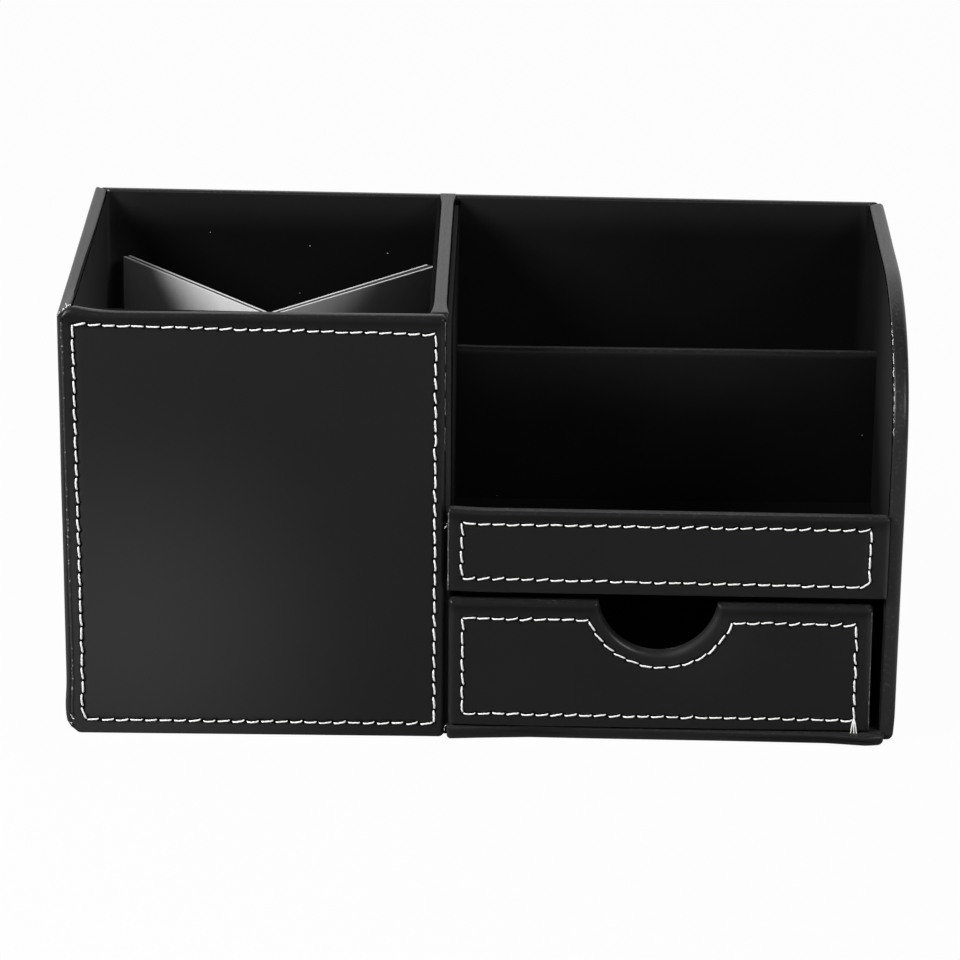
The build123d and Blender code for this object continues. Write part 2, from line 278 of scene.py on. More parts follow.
def sweep_profile():
    """Points along the sweep, seen from the side: floor, curve, wall."""
    points = [(SWEEP_FRONT, 0.0)]
    for index in range(SWEEP_CURVE_STEPS + 1):
        angle = math.pi / 2 * index / SWEEP_CURVE_STEPS
        points.append((SWEEP_REAR + SWEEP_CURVE * math.sin(angle), SWEEP_CURVE * (1 - math.cos(angle))))
    points.append((SWEEP_REAR + SWEEP_CURVE, SWEEP_TOP))
    return points


def white_sweep_finish():
    finish, shader, place = new_finish("white_sweep")
    set_shader(place, shader, Base_Color=FLOOR_WHITE, Roughness=0.95, Specular_IOR_Level=0.0)
    seen = [place.node("ShaderNodeLightPath", {}, {}, name)
            for name in ("Is Camera Ray", "Is Glossy Ray", "Is Transmission Ray")]
    glow = place.node("ShaderNodeEmission", {}, {"Color": grey(1.0), "Strength": 1.0})
    across, height = part_of(place, place, "X"), part_of(place, place, "Z")
    beside = step(across * across, SIDE_GLOW[0] ** 2, SIDE_GLOW[1] ** 2)
    wall = step(height, WALL_FOOT, WALL_GLOW_FROM)
    mirrored = (seen[1] + seen[2]) * (wall + beside * (1 - wall))
    mix_surface(place, shader, glow, FLOOR_GLOW * (seen[0] + mirrored))
    return finish


def build_sweep():
    profile = sweep_profile()
    points = [(x, y, z) for y, z in profile for x in (-SWEEP_HALF_WIDTH, SWEEP_HALF_WIDTH)]
    faces = [(2 * row, 2 * row + 1, 2 * row + 3, 2 * row + 2) for row in range(len(profile) - 1)]
    mesh = bpy.data.meshes.new("sweep")
    mesh.from_pydata(points, [], faces)
    mesh.shade_smooth()
    mesh.materials.append(white_sweep_finish())
    sweep = bpy.data.objects.new("sweep", mesh)
    bpy.context.scene.collection.objects.link(sweep)
    return sweep


sweep = build_sweep()
print("sweep of", len(sweep.data.polygons), "faces")

# %% [markdown]
# ## Light
#
# The card in the pen box tells where the light came from: its left face is bright and its right face
# is dim, and both fall into the shadow of the walls. So there is a fairly small key lamp high on the
# left, a weaker one on the right and a wide soft one over the camera. An image of a studio could light
# the scene too, but three lamps can be set by what the card shows. The world adds only a dim grey.

# %% Lamps and world
LAMPS = {
    "key_left": ((-1.1, -0.62, 1.0), 0.6, 36.0),
    "fill_right": ((1.02, -0.86, 0.98), 0.55, 11.0),
    "soft_front": ((0.1, -2.1, 0.75), 1.2, 3.0),
}
LAMP_AIM = Vector((0, -0.02, 0.07))
WORLD_GREY = 0.1


def place_lamp(name, spot, size, power):
    light = bpy.data.lights.new(name, "AREA")
    light.shape = "SQUARE"
    light.size = size
    light.energy = power
    lamp = bpy.data.objects.new(name, light)
    lamp.location = spot
    lamp.rotation_euler = (LAMP_AIM - Vector(spot)).to_track_quat("-Z", "Y").to_euler()
    bpy.context.scene.collection.objects.link(lamp)


for name, (spot, size, power) in LAMPS.items():
    place_lamp(name, spot, size, power)

world = bpy.data.worlds.new("studio")
world.use_nodes = True
world.node_tree.nodes["Background"].inputs["Color"].default_value = grey(WORLD_GREY)
bpy.context.scene.world = world
print("lamps", list(LAMPS))

# %% [markdown]
# ## Black leather
#
# The wrap is imitation leather: cloth with a black skin that is almost smooth, pressed with a fine
# grain. Its gloss drifts a little over the panel, and the tall front is hazy towards its lower left,
# where a paler colour is painted in as sheen. Fingers have dulled the right side of the drawer's
# cut-out, and there the painted edge highlight is left out. The folded edges have fine pale specks of
# wear, with a pale highlight painted on them as well, and the top edges have caught some dust. The
# creases at the stitches and the hollow under a top roll get a painted shade: a dead matt black of their
# own. The grain could be carved into the mesh, but at this size a bump of small cells does as well. The
# mesh stores, for each point, how pale its edge is and how much painted shade it takes.

# %% Black leather
HAZE_SHEEN_SPOT = (-0.105, -0.067, 0.03)
HAZE_SHEEN_REACH = 0.085
MATT_SPOT = (0.067, -0.069, 0.0335)
MATT_REACH = 0.022


def near(place, spot, reach):
    """1 at the spot, falling softly to 0 at the reach, both in metres."""
    distance = place.node("ShaderNodeVectorMath", {"operation": "DISTANCE"}, {0: place, 1: spot}, "Value")
    return 1 - step(distance, 0.0, reach)


def facing(place, axis, low, high):
    """1 where the surface faces along an axis, and 0 where it doesn't."""
    normal = place.node("ShaderNodeNewGeometry", {}, {}, "Normal")
    return step(part_of(place, normal, axis), low, high)


def black_leather_finish():
    finish, shader, place = new_finish("black_leather")
    cloud = noise(place, 42.0, 3.0)
    grain = 0.7 * cells(place, 1750.0) + 0.3 * noise(place, 5200.0, 1.0)
    specks = step(noise(place, 1100.0, 3.0), 0.55, 0.72)
    # Near MATT_SPOT the leather is rougher, and the pale painted edge highlight is left out.
    matt_without_highlight = near(place, MATT_SPOT, MATT_REACH)
    # Pale edges: fine specks of wear, with a highlight painted in on every folded edge and ridge.
    paleness = attribute(place, "worn") * (0.3 + 0.7 * specks) * (1 - matt_without_highlight)
    # A paler colour is painted in as sheen towards the lower left of the tall front, where the leather is
    # also rougher.
    haze_and_painted_sheen = near(place, HAZE_SHEEN_SPOT, HAZE_SHEEN_REACH)
    matt = 0.35 * haze_and_painted_sheen + 0.4 * matt_without_highlight
    colour = tint(haze_and_painted_sheen, tint(cloud, grey(0.0026), grey(0.0042, -0.03)), grey(0.0185))
    # Painted highlight: where the mark passes 1, on the ridges, the colour goes on to a pale grey.
    colour = tint(paleness - 1, tint(paleness, colour, grey(0.03)), grey(0.22))
    dust = facing(place, "Z", 0.88, 0.98) * step(noise(place, 1700.0, 3.0, 0.7), 0.5, 0.75)
    colour = tint(0.4 * dust, colour, grey(0.22))
    set_shader(place, shader, Base_Color=colour,
               Roughness=0.32 + 0.06 * cloud + matt + 0.1 * paleness, Specular_IOR_Level=0.3,
               Normal=relief(grain, 0.16, 0.06))
    # Painted shade: a dead matt black, mixed in by the share that the mesh stores for pits and hollows.
    crease = place.node("ShaderNodeBsdfDiffuse", {}, {"Color": grey(0.0012)})
    mix_surface(place, shader, crease, attribute(place, "crease"))
    return finish


black_leather = black_leather_finish()
print("finish", black_leather.name)

# %% [markdown]
# ## Linings
#
# Inside, the boards are covered with black cloth that has a short nap, so it swallows nearly all the
# light. Light and shade are painted into its colour: the side walls are painted paler as sheen, most
# of all towards the front, and darker towards the rear and low down. The left wall of the pen box and
# its back left corner are painted palest, the back walls are painted lighter under their top edges,
# faces that look up are painted darker, and the cloth in the drawer's bay is painted a little grey.
# The underside has thicker felt, and the drawer is covered with matt black paper. The nap could be
# grown as hair, but on cloth as dark as this a bump shows as much. All three are dark, so they differ
# in relief and sheen more than in colour.

# %% Lining, felt and covering paper
def black_lining_finish():
    finish, shader, place = new_finish("black_lining")
    nap = noise(place, 2600.0, 3.0, 0.6)
    drift = noise(place, 60.0, 2.0)
    pile = 0.6 * nap + 0.4 * drift
    plain = tint(pile, grey(0.0012), grey(0.0032))
    dim = tint(pile, grey(0.014), grey(0.027))
    pale = tint(pile, grey(0.036), grey(0.066))
    across, height = part_of(place, place, "X"), part_of(place, place, "Z")
    rear = step(part_of(place, place, "Y"), -0.068, 0.03)
    deep = 1 - step(height, 0.05, 0.1)
    pen_box = 1 - step(across, -0.09, -0.06)
    bay = step(across, -0.01, -0.008) * (1 - step(height, 0.044, 0.047))
    # Painted light on the side walls: paler towards the front, darker towards the rear and low down, and
    # palest on the pen box's left wall.
    paleness = tint(pen_box, tint(0.95 * rear + 0.7 * deep, dim, plain), tint(0.5 * rear, pale, plain))
    # Painted sheen: walls that face sideways take that paler colour.
    sideways = facing(place, "X", 0.6, 0.9) + facing(place, "X", -0.6, -0.9)
    # Painted light: the back walls are lighter under their top edges, and a little more beside the
    # partition.
    upper = tint(step(height, 0.118, 0.1315), plain, tint(pile, grey(0.007), grey(0.013)))
    beside = step(across, -0.014, -0.011) * (1 - step(across, 0.0, 0.07))
    upper = tint(0.15 * beside, upper, dim)
    # Painted light: the back left corner of the pen box is paler.
    corner = 0.35 * (1 - step(across, -0.12, -0.108)) * (1 - 0.7 * step(height, 0.1, 0.125))
    colour = tint(sideways, tint(corner, upper, pale), paleness)
    # Painted shade: faces that look up are darker.
    colour = tint(0.4 * facing(place, "Z", 0.6, 0.9), colour, grey(0.0))
    # Painted light: the cloth in the drawer's bay is a little grey.
    colour = tint(bay, colour, tint(pile, grey(0.02), grey(0.04)))
    set_shader(place, shader, Base_Color=colour,
               Roughness=0.88 + 0.1 * nap, Specular_IOR_Level=0.06, Normal=relief(nap, 0.35, 0.12))
    return finish


def black_felt_finish():
    finish, shader, place = new_finish("black_felt")
    fibres = noise(stretched(place, (1.0, 2.2, 1.0)), 1500.0, 4.0, 0.7)
    clumps = noise(place, 170.0, 2.0)
    set_shader(place, shader, Base_Color=tint(0.5 * fibres + 0.5 * clumps, grey(0.004), grey(0.018)),
               Roughness=0.95, Specular_IOR_Level=0.15, Sheen_Weight=0.12, Sheen_Roughness=0.5,
               Normal=relief(fibres, 0.6, 0.25))
    return finish


def black_paper_finish():
    finish, shader, place = new_finish("black_paper")
    pulp = noise(place, 900.0, 4.0, 0.6)
    drift = noise(place, 35.0, 2.0)
    set_shader(place, shader, Base_Color=tint(pulp, grey(0.012), grey(0.026)),
               Roughness=0.55 + 0.2 * drift, Specular_IOR_Level=0.35, Normal=relief(pulp, 0.2, 0.05))
    return finish


black_lining = black_lining_finish()
black_felt = black_felt_finish()
black_paper = black_paper_finish()
print("finishes", black_lining.name, black_felt.name, black_paper.name)

# %% [markdown]
# ## Thread, card and board
#
# The thread is twisted white polyester. The pen divider is laminated card: light grey facings on a dark
# core, with raw cut edges; the facings that look left are painted paler and those that look right
# darker, as the light falls from the left. The boards inside the wraps are fibreboard that only a cut
# would show, and they get a finish too, so that no node is left bare. The thread's twist could be
# painted as stripes, but it is modelled later, so its finish only needs fibres.

# %% Thread, card and board
def white_thread_finish():
    finish, shader, place = new_finish("white_thread")
    fibre = noise(place, 6500.0, 2.0, 0.6)
    soil = noise(place, 120.0, 2.0)
    set_shader(place, shader, Base_Color=tint(soil, grey(0.86, 0.01), grey(0.74, 0.02)),
               Roughness=0.6 + 0.2 * fibre, Specular_IOR_Level=0.3, Sheen_Weight=0.1,
               Normal=relief(fibre, 0.3, 0.03))
    return finish


def grey_facing_finish():
    finish, shader, place = new_finish("grey_facing")
    mottle = noise(place, 260.0, 4.0, 0.6)
    fibre = noise(stretched(place, (1.0, 1.0, 5.0)), 700.0, 3.0, 0.6)
    edge = facing(place, "Z", 0.4, 0.6)
    right = facing(place, "X", -0.2, 0.2)
    pulp = 0.6 * mottle + 0.4 * fibre
    # Painted light: facings that look left are paler, and those that look right are darker.
    face = tint(right, tint(pulp, grey(0.42), grey(0.58)), tint(pulp, grey(0.33), grey(0.46)))
    torn = tint(noise(place, 1900.0, 3.0, 0.7), grey(0.34), grey(0.9))
    set_shader(place, shader, Base_Color=tint(edge, face, torn), Roughness=0.55 + 0.3 * edge,
               Specular_IOR_Level=0.35, Normal=relief(fibre, 0.15, 0.05))
    return finish


def grey_card_finish():
    finish, shader, place = new_finish("grey_card")
    pulp = noise(place, 1300.0, 4.0, 0.7)
    set_shader(place, shader, Base_Color=tint(pulp, grey(0.02), grey(0.06)), Roughness=0.9,
               Specular_IOR_Level=0.2, Normal=relief(pulp, 0.5, 0.15))
    return finish


def fibreboard_finish():
    finish, shader, place = new_finish("board")
    chips = noise(stretched(place, (1.0, 1.0, 2.5)), 800.0, 5.0, 0.65)
    set_shader(place, shader, Base_Color=tint(chips, (0.21, 0.15, 0.09, 1), (0.4, 0.31, 0.21, 1)),
               Roughness=0.8, Normal=relief(chips, 0.3, 0.1))
    return finish


white_thread = white_thread_finish()
grey_facing = grey_facing_finish()
grey_card = grey_card_finish()
fibreboard = fibreboard_finish()
print("finishes", white_thread.name, grey_facing.name, grey_card.name, fibreboard.name)

# %% Dress the CAD nodes by their slots
FINISHES = {
    "board": fibreboard,
    "black_leather": black_leather,
    "black_lining": black_lining,
    "black_felt": black_felt,
    "black_paper": black_paper,
    "white_thread": white_thread,
    "grey_card": grey_card,
    "grey_facing": grey_facing,
}

SLOTS = {part["node"]: part["material_slot"] for part in frame["record"]["subparts"]}
for node, slot in SLOTS.items():
    surface = frame["nodes"][node].data
    surface.materials.clear()
    surface.materials.append(FINISHES[slot])
print("dressed", len(SLOTS), "CAD nodes")

# %% [markdown]
# ## Outlines that can shrink
#
# A wrapped panel is easiest to build as a stack of rings: its outline, drawn smaller and smaller
# towards the middle of the face. Blender's Inset tool does that too, but its rings cross at a notch.
# Here each outline is a function of the inset, made of straight runs and arcs with a fixed number of
# points, so any two rings can be joined by plain quads.

# %% Straight runs and bows
def mm_box(node):
    """A CAD node's lowest and highest corner in millimetres."""
    low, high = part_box(node)
    return np.array(low) / MM, np.array(high) / MM


def straight(start, end, count):
    """Points from start up to, but not on, end."""
    start, end = np.array(start, float), np.array(end, float)
    return start + np.arange(count)[:, None] / count * (end - start)


def bow(centre, radius, first, last, count):
    """Points on an arc from the first angle up to, but not on, the last, in degrees."""
    angles = np.radians(first + (last - first) * np.arange(count) / count)
    return np.array(centre) + radius * np.stack([np.cos(angles), np.sin(angles)], axis=1)


def notched_top(start, end, top, inset, notch, counts):
    """The top side from right to left, with a round notch in it."""
    across, height, radius = notch
    reach = radius + inset
    dip = math.asin((height - top) / reach)
    half = reach * math.cos(dip)
    lean = math.degrees(dip)
    return np.concatenate([
        straight(start, (across + half, top), counts[0]),
        bow((across, height), reach, -lean, lean - 180, counts[1]),
        straight((across - half, top), end, counts[2]),
    ])


print("straight runs, bows and a notched top")

# %% The outline of a panel
POINT_STEP = 0.72
SIDE_STEPS = 4
CORNER_STEPS = 6
SHARPEST = 0.3
TIGHT_REACH = 2.1


def panel_outline(low, high, radii, notch=None, grain=POINT_STEP, tight=(0.0, 0.0)):
    """An upright rectangle with its own radius at each corner, as a function of the inset.

    The corners go anticlockwise from the lower left, and an oval one has a pair of radii, across and
    up. A notch is (across, height, radius). The left and the bottom side can be tight, so that their
    rounded edges are narrower than the others.
    """
    radii = [np.broadcast_to(np.array(radius, float), 2) for radius in radii]
    width, height = high[0] - low[0], high[1] - low[1]
    side_counts = [max(SIDE_STEPS, round(length / grain)) for length in (width, height, width, height)]
    corner_counts = [max(CORNER_STEPS, round(math.pi / 2 * max(radius) / grain)) for radius in radii]
    notch_counts = None
    if notch:
        flat = (width - 2 * notch[2]) / 2
        notch_counts = [round(flat / grain), round(math.pi * notch[2] / grain), round(flat / grain)]

    def ring(inset):
        near_edge = min(inset, TIGHT_REACH)
        left, right = low[0] + inset - tight[0] * near_edge, high[0] - inset
        bottom, top = low[1] + inset - tight[1] * near_edge, high[1] - inset
        bends = [np.maximum(radius - inset, np.minimum(radius, SHARPEST)) for radius in radii]
        corners = [(left, bottom), (right, bottom), (right, top), (left, top)]
        inward = [(1, 1), (-1, 1), (-1, -1), (1, -1)]
        centres = [corners[k] + bends[k] * inward[k] for k in range(4)]
        leaves = [(centres[0][0], bottom), (right, centres[1][1]), (centres[2][0], top),
                  (left, centres[3][1])]
        meets = [(left, centres[0][1]), (centres[1][0], bottom), (right, centres[2][1]),
                 (centres[3][0], top)]
        runs = []
        for k in range(4):
            first = 180 + 90 * k
            runs.append(bow(centres[k], bends[k], first, first + 90, corner_counts[k]))
            start, end = leaves[k], meets[(k + 1) % 4]
            if k == 2 and notch:
                runs.append(notched_top(start, end, top, inset, notch, notch_counts))
            else:
                runs.append(straight(start, end, side_counts[k]))
        return np.concatenate(runs)

    return ring


print("outline points every", POINT_STEP, "mm")

# %% [markdown]
# ## Stitches
#
# The seams are sewn with one white thread that goes in and out of the leather, so each stitch is a
# short piece that rises from one hole and dives into the next. Hand-guided sewing is never even:
# stitches lean a little to one side, differ in length, and are pulled tighter in the level rows than in
# the upright ones. A dashed texture would look flat up close, so every stitch is a small twisted tube,
# and its place also tells the leather where to pucker.

# %% Seams as lists of stitches
STITCH_PITCH = 4.35
STITCH_LENGTH = 3.35
STITCH_LEAN = math.radians(6.0)
LEAN_SPREAD = math.radians(3.5)
PLACE_SPREAD = 0.05
LENGTH_SPREAD = 0.035
BEND_SPREAD = 0.1
THICKNESS_SPREAD = 0.05
TIGHTER = 0.17


def line_run(start, end):
    """A straight seam run: its length, and the place and heading at a share of it."""
    start, end = np.array(start, float), np.array(end, float)
    heading = math.atan2(*(end - start)[::-1])
    return np.linalg.norm(end - start), lambda share: (start + share * (end - start), heading)


def arc_run(centre, radius, first, last):
    """A round seam run between two angles in radians."""
    turn = math.copysign(math.pi / 2, last - first)

    def at(share):
        angle = first + share * (last - first)
        spoke = np.array([math.cos(angle), math.sin(angle)])
        return np.array(centre) + radius * spoke, angle + turn

    return abs(last - first) * radius, at


def sew(runs):
    """Stitches along the runs: middles, directions, lengths and sideways bends."""
    middles, headings = [], []
    for length, at in runs:
        count = round(length / STITCH_PITCH)
        for index in range(count):
            middle, heading = at((index + 0.5) / count)
            middles.append(middle)
            headings.append(heading)
    count = len(middles)
    leaning = np.array(headings) + dice.normal(STITCH_LEAN, LEAN_SPREAD, count)
    return {
        "middle": np.array(middles) + dice.normal(0, PLACE_SPREAD, (count, 2)),
        "along": np.stack([np.cos(leaning), np.sin(leaning)], axis=1),
        "length": STITCH_LENGTH * dice.normal(1, LENGTH_SPREAD, count),
        "bend": dice.normal(0, BEND_SPREAD, count),
        "thickness": dice.normal(1, THICKNESS_SPREAD, count) * (1 - TIGHTER * np.cos(headings) ** 2),
    }


print("stitches lean", round(math.degrees(STITCH_LEAN)), "degrees")

# %% How the thread pulls the leather in
PIT_DEPTH = 0.5
PIT_WIDTH = 0.5
GROOVE_DEPTH = 0.28
GROOVE_WIDTH = 0.42
# The painted shade in a pit starts at the first pull, in millimetres, and is full at the second.
PIT_SHADE_FROM = 0.08
PIT_SHADE_FULL = 0.28


def pucker(places, seam):
    """How far the seam pulls the leather in at each place, in millimetres."""
    offset = places[:, None, :] - seam["middle"][None]
    along = np.einsum("psk,sk->ps", offset, seam["along"])
    across = offset[..., 1] * seam["along"][:, 0] - offset[..., 0] * seam["along"][:, 1]
    past = np.abs(along) - seam["length"] / 2
    pit = PIT_DEPTH * np.exp(-(past ** 2 + across ** 2) / (2 * PIT_WIDTH ** 2))
    beyond = np.maximum(past, 0)
    groove = GROOVE_DEPTH * np.exp(-(beyond ** 2 + across ** 2) / (2 * GROOVE_WIDTH ** 2))
    return np.maximum(pit, groove).max(axis=1)


RIPPLE_COUNT = 9
RIPPLE_RATE = 0.16
RIPPLE_HEIGHT = 0.012
RIPPLES = [(dice.uniform(-RIPPLE_RATE, RIPPLE_RATE, 2), dice.uniform(0, 2 * math.pi))
           for _ in range(RIPPLE_COUNT)]


def ripple(places):
    """The slow unevenness of leather glued to a board, in millimetres."""
    return sum(RIPPLE_HEIGHT * np.sin(places @ wave + phase) for wave, phase in RIPPLES)


print("pits", PIT_DEPTH, "mm deep")

# %% [markdown]
# ## A box glued by hand
#
# The photographed box is not quite square: its right wall opens outwards towards the top, the top edge
# of the back falls a little to the right, and the pen box stands highest at its front left corner. The
# right wall is drawn in at its foot, and the left wall swells a little above its own. The CAD frame
# stays square, and this small shift is laid over every dressed piece of the carcass alike, so that
# nothing comes apart. A Lattice modifier could do it too, but a function of the place says how much
# each corner moves.

# %% The box leans a little
LEAN_FROM = 60.0
LEAN_REACH = 65.0
LEAN_LIMIT = 1.05
LEFT_LEAN = (0.75, 0.5)
RIGHT_LEAN = (1.7, 0.8)
REAR_RISE = (1.0, -1.4)
FRONT_RISE = 0.9
FRONT_RISE_REACH = 10.0
CORNER_RISE = 1.5
CORNER_FROM = 123.5
CORNER_REACH = 2.8
CORNER_HEIGHT = 6.0
CORNER_FADE = 6.0
FOOT_TUCK = 0.5
FOOT_HEIGHT = 10.0
SWELL = 0.45
SWELL_HEIGHT = 8.5
SWELL_REACH = 5.0
BOX_HEIGHT = 132.0
BOX_HALF_WIDTH = 125.0
INNER_FRONT = -63.0
INNER_DEPTH = 133.0


def settle(points):
    """Moves points of the carcass to where the glued boards really stand, in millimetres."""
    x, y, z = points.T
    rear = np.clip((y - INNER_FRONT) / INNER_DEPTH, 0, 1)
    height = z / BOX_HEIGHT
    to_right = np.clip((x - LEAN_FROM) / LEAN_REACH, 0, LEAN_LIMIT)
    to_left = np.clip((-x - LEAN_FROM) / LEAN_REACH, 0, LEAN_LIMIT)
    lean_right = RIGHT_LEAN[0] + rear * (RIGHT_LEAN[1] - RIGHT_LEAN[0])
    lean_left = LEFT_LEAN[0] + rear * (LEFT_LEAN[1] - LEFT_LEAN[0])
    across = (x + BOX_HALF_WIDTH) / (2 * BOX_HALF_WIDTH)
    rise = rear * (REAR_RISE[0] + across * (REAR_RISE[1] - REAR_RISE[0]))
    rise = rise + FRONT_RISE * (1 - rear) * np.clip(-x / FRONT_RISE_REACH, 0, 1)
    beyond = np.maximum((x + CORNER_FROM) / CORNER_REACH, 0)
    corner = beyond * np.exp(1 - beyond) * np.clip(1 - CORNER_FADE * rear, 0, 1)
    upper = np.clip(1 - (BOX_HEIGHT - z) / CORNER_HEIGHT, 0, 1)
    foot = FOOT_TUCK * to_right * np.clip(1 - z / FOOT_HEIGHT, 0, 1) ** 2
    swell = SWELL * to_left * np.exp(-((z - SWELL_HEIGHT) / SWELL_REACH) ** 2)
    return np.column_stack([x + height * (to_right * lean_right - to_left * lean_left) - foot - swell, y,
                            z + height * rise + CORNER_RISE * corner * upper ** 2])


print("the right wall leans out by", RIGHT_LEAN, "mm")

# %% [markdown]
# ## From rings to pieces
#
# One helper turns points and faces into a piece: it makes the normals point outwards, stores the marks
# of wear, painted highlight and painted shade, dresses it with the finish of its slot, and tells the
# frame which body the piece rides on and what it replaces.
# Each piece could do this by itself, but in one place nothing is forgotten.

# %% Stack of rings to a mesh
WELD_DISTANCE = 1e-6


def add_piece(name, points, faces, body, slot, nodes, marks=None, smooth=True):
    """Links a mesh given in millimetres, dresses it by its slot and lets it ride on its body.

    Marks are numbers for each point that the finish reads by their names.
    """
    points = np.asarray(points)
    if body == "carcass":
        points = settle(points)
    mesh = bpy.data.meshes.new(name)
    mesh.from_pydata((points * MM).tolist(), [], faces)
    for mark, values in (marks or {}).items():
        mesh.attributes.new(mark, "FLOAT", "POINT").data.foreach_set("value", values)
    shape = bmesh.new()
    shape.from_mesh(mesh)
    if not smooth:
        bmesh.ops.remove_doubles(shape, verts=shape.verts, dist=WELD_DISTANCE)
    bmesh.ops.recalc_face_normals(shape, faces=shape.faces)
    shape.to_mesh(mesh)
    shape.free()
    if smooth:
        mesh.shade_smooth()
    else:
        mesh.shade_flat()
    mesh.materials.append(FINISHES[slot])
    piece = bpy.data.objects.new(name, mesh)
    bpy.context.scene.collection.objects.link(piece)
    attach(piece, body)
    if nodes:
        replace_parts(piece, *nodes)
    return piece


def ring_faces(rows, count):
    """Quads between stacked rings of the same count, and a face over each end of the stack."""
    faces = []
    for base in range(0, (rows - 1) * count, count):
        for k in range(count):
            after = (k + 1) % count
            faces.append((base + k, base + after, base + count + after, base + count + k))
    return faces + [tuple(range(count)), tuple(range((rows - 1) * count, rows * count))]


def merged(shapes):
    """Many pairs of points and faces as one pair."""
    points, faces = [], []
    for shape, sides in shapes:
        faces += [tuple(len(points) + corner for corner in side) for side in sides]
        points += np.asarray(shape).tolist()
    return np.array(points), faces


print("pieces are stacks of rings")

# %% [markdown]
# ## Wrapped panels
#
# Each panel is a board with a sheet of leather folded round it. The mesh follows the sheet: from the
# middle of the face, over the rounded edge, along the side, round to the turned-in border at the back,
# and then back inside against the board. That closes it, so it is a real sheet and not a block. Under
# the top roll of a stitched panel the leather is hollow, and a shade is painted there. A Bevel modifier
# on the CAD solid would also round the edge, but it could not carry the pucker.

# %% The stations of a wrap, from the middle of the face to the inside
SKIN = 0.7
SLACK = 0.1
EDGE_STEPS = 7
REAR_EDGE = 0.9
TURN_IN = 3.5
FACE_INSETS = [9.0, 7.6, 6.6, 6.0, 5.6, 5.25, 4.9, 4.55, 4.2, 3.85, 3.5, 3.15, 2.8, 2.5]


def wrap_stations(depth, edge, rear_edge, insets, turn_in):
    """Pairs of inset and depth below the face; the face and its rounded edge come first."""
    angles = [math.pi / 2 * index / EDGE_STEPS for index in range(EDGE_STEPS + 1)]
    stations = [(inset, 0.0) for inset in insets if inset > edge]
    stations += [(edge * (1 - math.sin(angle)), edge * (1 - math.cos(angle))) for angle in angles]
    outer = len(stations)
    stations.append((0.0, (edge + depth - rear_edge) / 2))
    stations += [(rear_edge * (1 - math.cos(angle)), depth - rear_edge * (1 - math.sin(angle)))
                 for angle in angles]
    stations += [(turn_in, depth), (turn_in, depth - SKIN), (SKIN, depth - SKIN), (SKIN, SKIN),
                 (insets[0], SKIN + SLACK)]
    return stations, outer


print("the leather turns in by", TURN_IN, "mm")

# %% Wear and shade of the leather
WORN_REACH = 0.9
SHADE = 0.38
SHADE_DROP = 2.0
SHADE_REACH = 1.8


def wear(inset, count):
    """How worn the points of a ring are, most at the outer edge, where the finish paints wear and a
    highlight.
    """
    return np.full(count, math.exp(-(inset / WORN_REACH) ** 2))


def darkness(pull, drop):
    """Painted shade, black in the thread's pits and dimmer in the hollow under the top roll."""
    pits = np.clip((pull - PIT_SHADE_FROM) / (PIT_SHADE_FULL - PIT_SHADE_FROM), 0, 1)
    return np.maximum(pits, SHADE * np.exp(-((drop - SHADE_DROP) / SHADE_REACH) ** 2))


print("wear reaches", WORN_REACH, "mm in from an edge")

# %% Wrap a board
def wrap_panel(name, outline, depth, place, body, node, edge, rear_edge=REAR_EDGE, insets=FACE_INSETS,
               seam=None, reshape=None):
    """A leather sheet wrapped round a board; place turns across, up and depth into x, y and z."""
    stations, outer = wrap_stations(depth, edge, rear_edge, insets, TURN_IN)
    top = outline(0.0)[:, 1].max()
    rings, worn, crease = [], [], []
    for index, (inset, sink) in enumerate(stations):
        flat = outline(inset)
        below = np.full(len(flat), sink)
        dark = np.zeros(len(flat))
        if index < outer:
            fade = 1 - sink / depth
            below = below + fade * (ripple(flat) + RIPPLE_HEIGHT * RIPPLE_COUNT)
            if seam is not None:
                pull = fade * pucker(flat, seam)
                below = below + pull
                # The painted shade of the seam's pits and of the hollow under the top roll.
                dark = darkness(pull, top - flat[:, 1])
        rings.append(np.column_stack([flat, below]))
        worn.append(wear(inset, len(flat)))
        crease.append(dark)
    points = np.concatenate(rings)
    if reshape:
        points = reshape(points)
    marks = {"worn": np.concatenate(worn), "crease": np.concatenate(crease)}
    faces = ring_faces(len(rings), len(rings[0]))
    return add_piece(name, place(points), faces, body, "black_leather", [node], marks)


print("the face of a wrap has rings at", len(FACE_INSETS), "insets")

# %% Ways a panel can face
BAY_TILT = 0.008
BAY_MIDDLE = 56.0


def facing_front(face):
    """Across is x, up is z, depth goes to the rear."""
    return lambda points: np.column_stack([points[:, 0], face + points[:, 2], points[:, 1]])


def facing_bay(face, lift):
    """Like facing_front, for the ledge and the drawer, whose rows fall a little to the right."""
    def place(points):
        tilt = lift + BAY_TILT * (BAY_MIDDLE - points[:, 0])
        return np.column_stack([points[:, 0], face + points[:, 2], points[:, 1] + tilt])
    return place


def facing_rear(face):
    """Across is x, up is z, depth goes to the front."""
    return lambda points: np.column_stack([points[:, 0], face - points[:, 2], points[:, 1]])


def facing_left(face):
    """Across is y, up is z, depth goes to the right."""
    return lambda points: np.column_stack([face + points[:, 2], points[:, 0], points[:, 1]])


def facing_right(face):
    """Across is y, up is z, depth goes to the left."""
    return lambda points: np.column_stack([face - points[:, 2], points[:, 0], points[:, 1]])


print("rows over the drawer bay fall by", BAY_TILT, "mm in each mm")

# %% [markdown]
# ## Corner mitres
#
# Where two wrapped boards meet at a corner, the tops run into each other at a slant, like a picture
# frame. The meshes could be cut along that slant, but a cut would open the closed sheets. The panels
# are built square instead, and a small shear near each end slides the face out to the mitre.

# %% Mitre shear
MITRE_REACH = 9.0


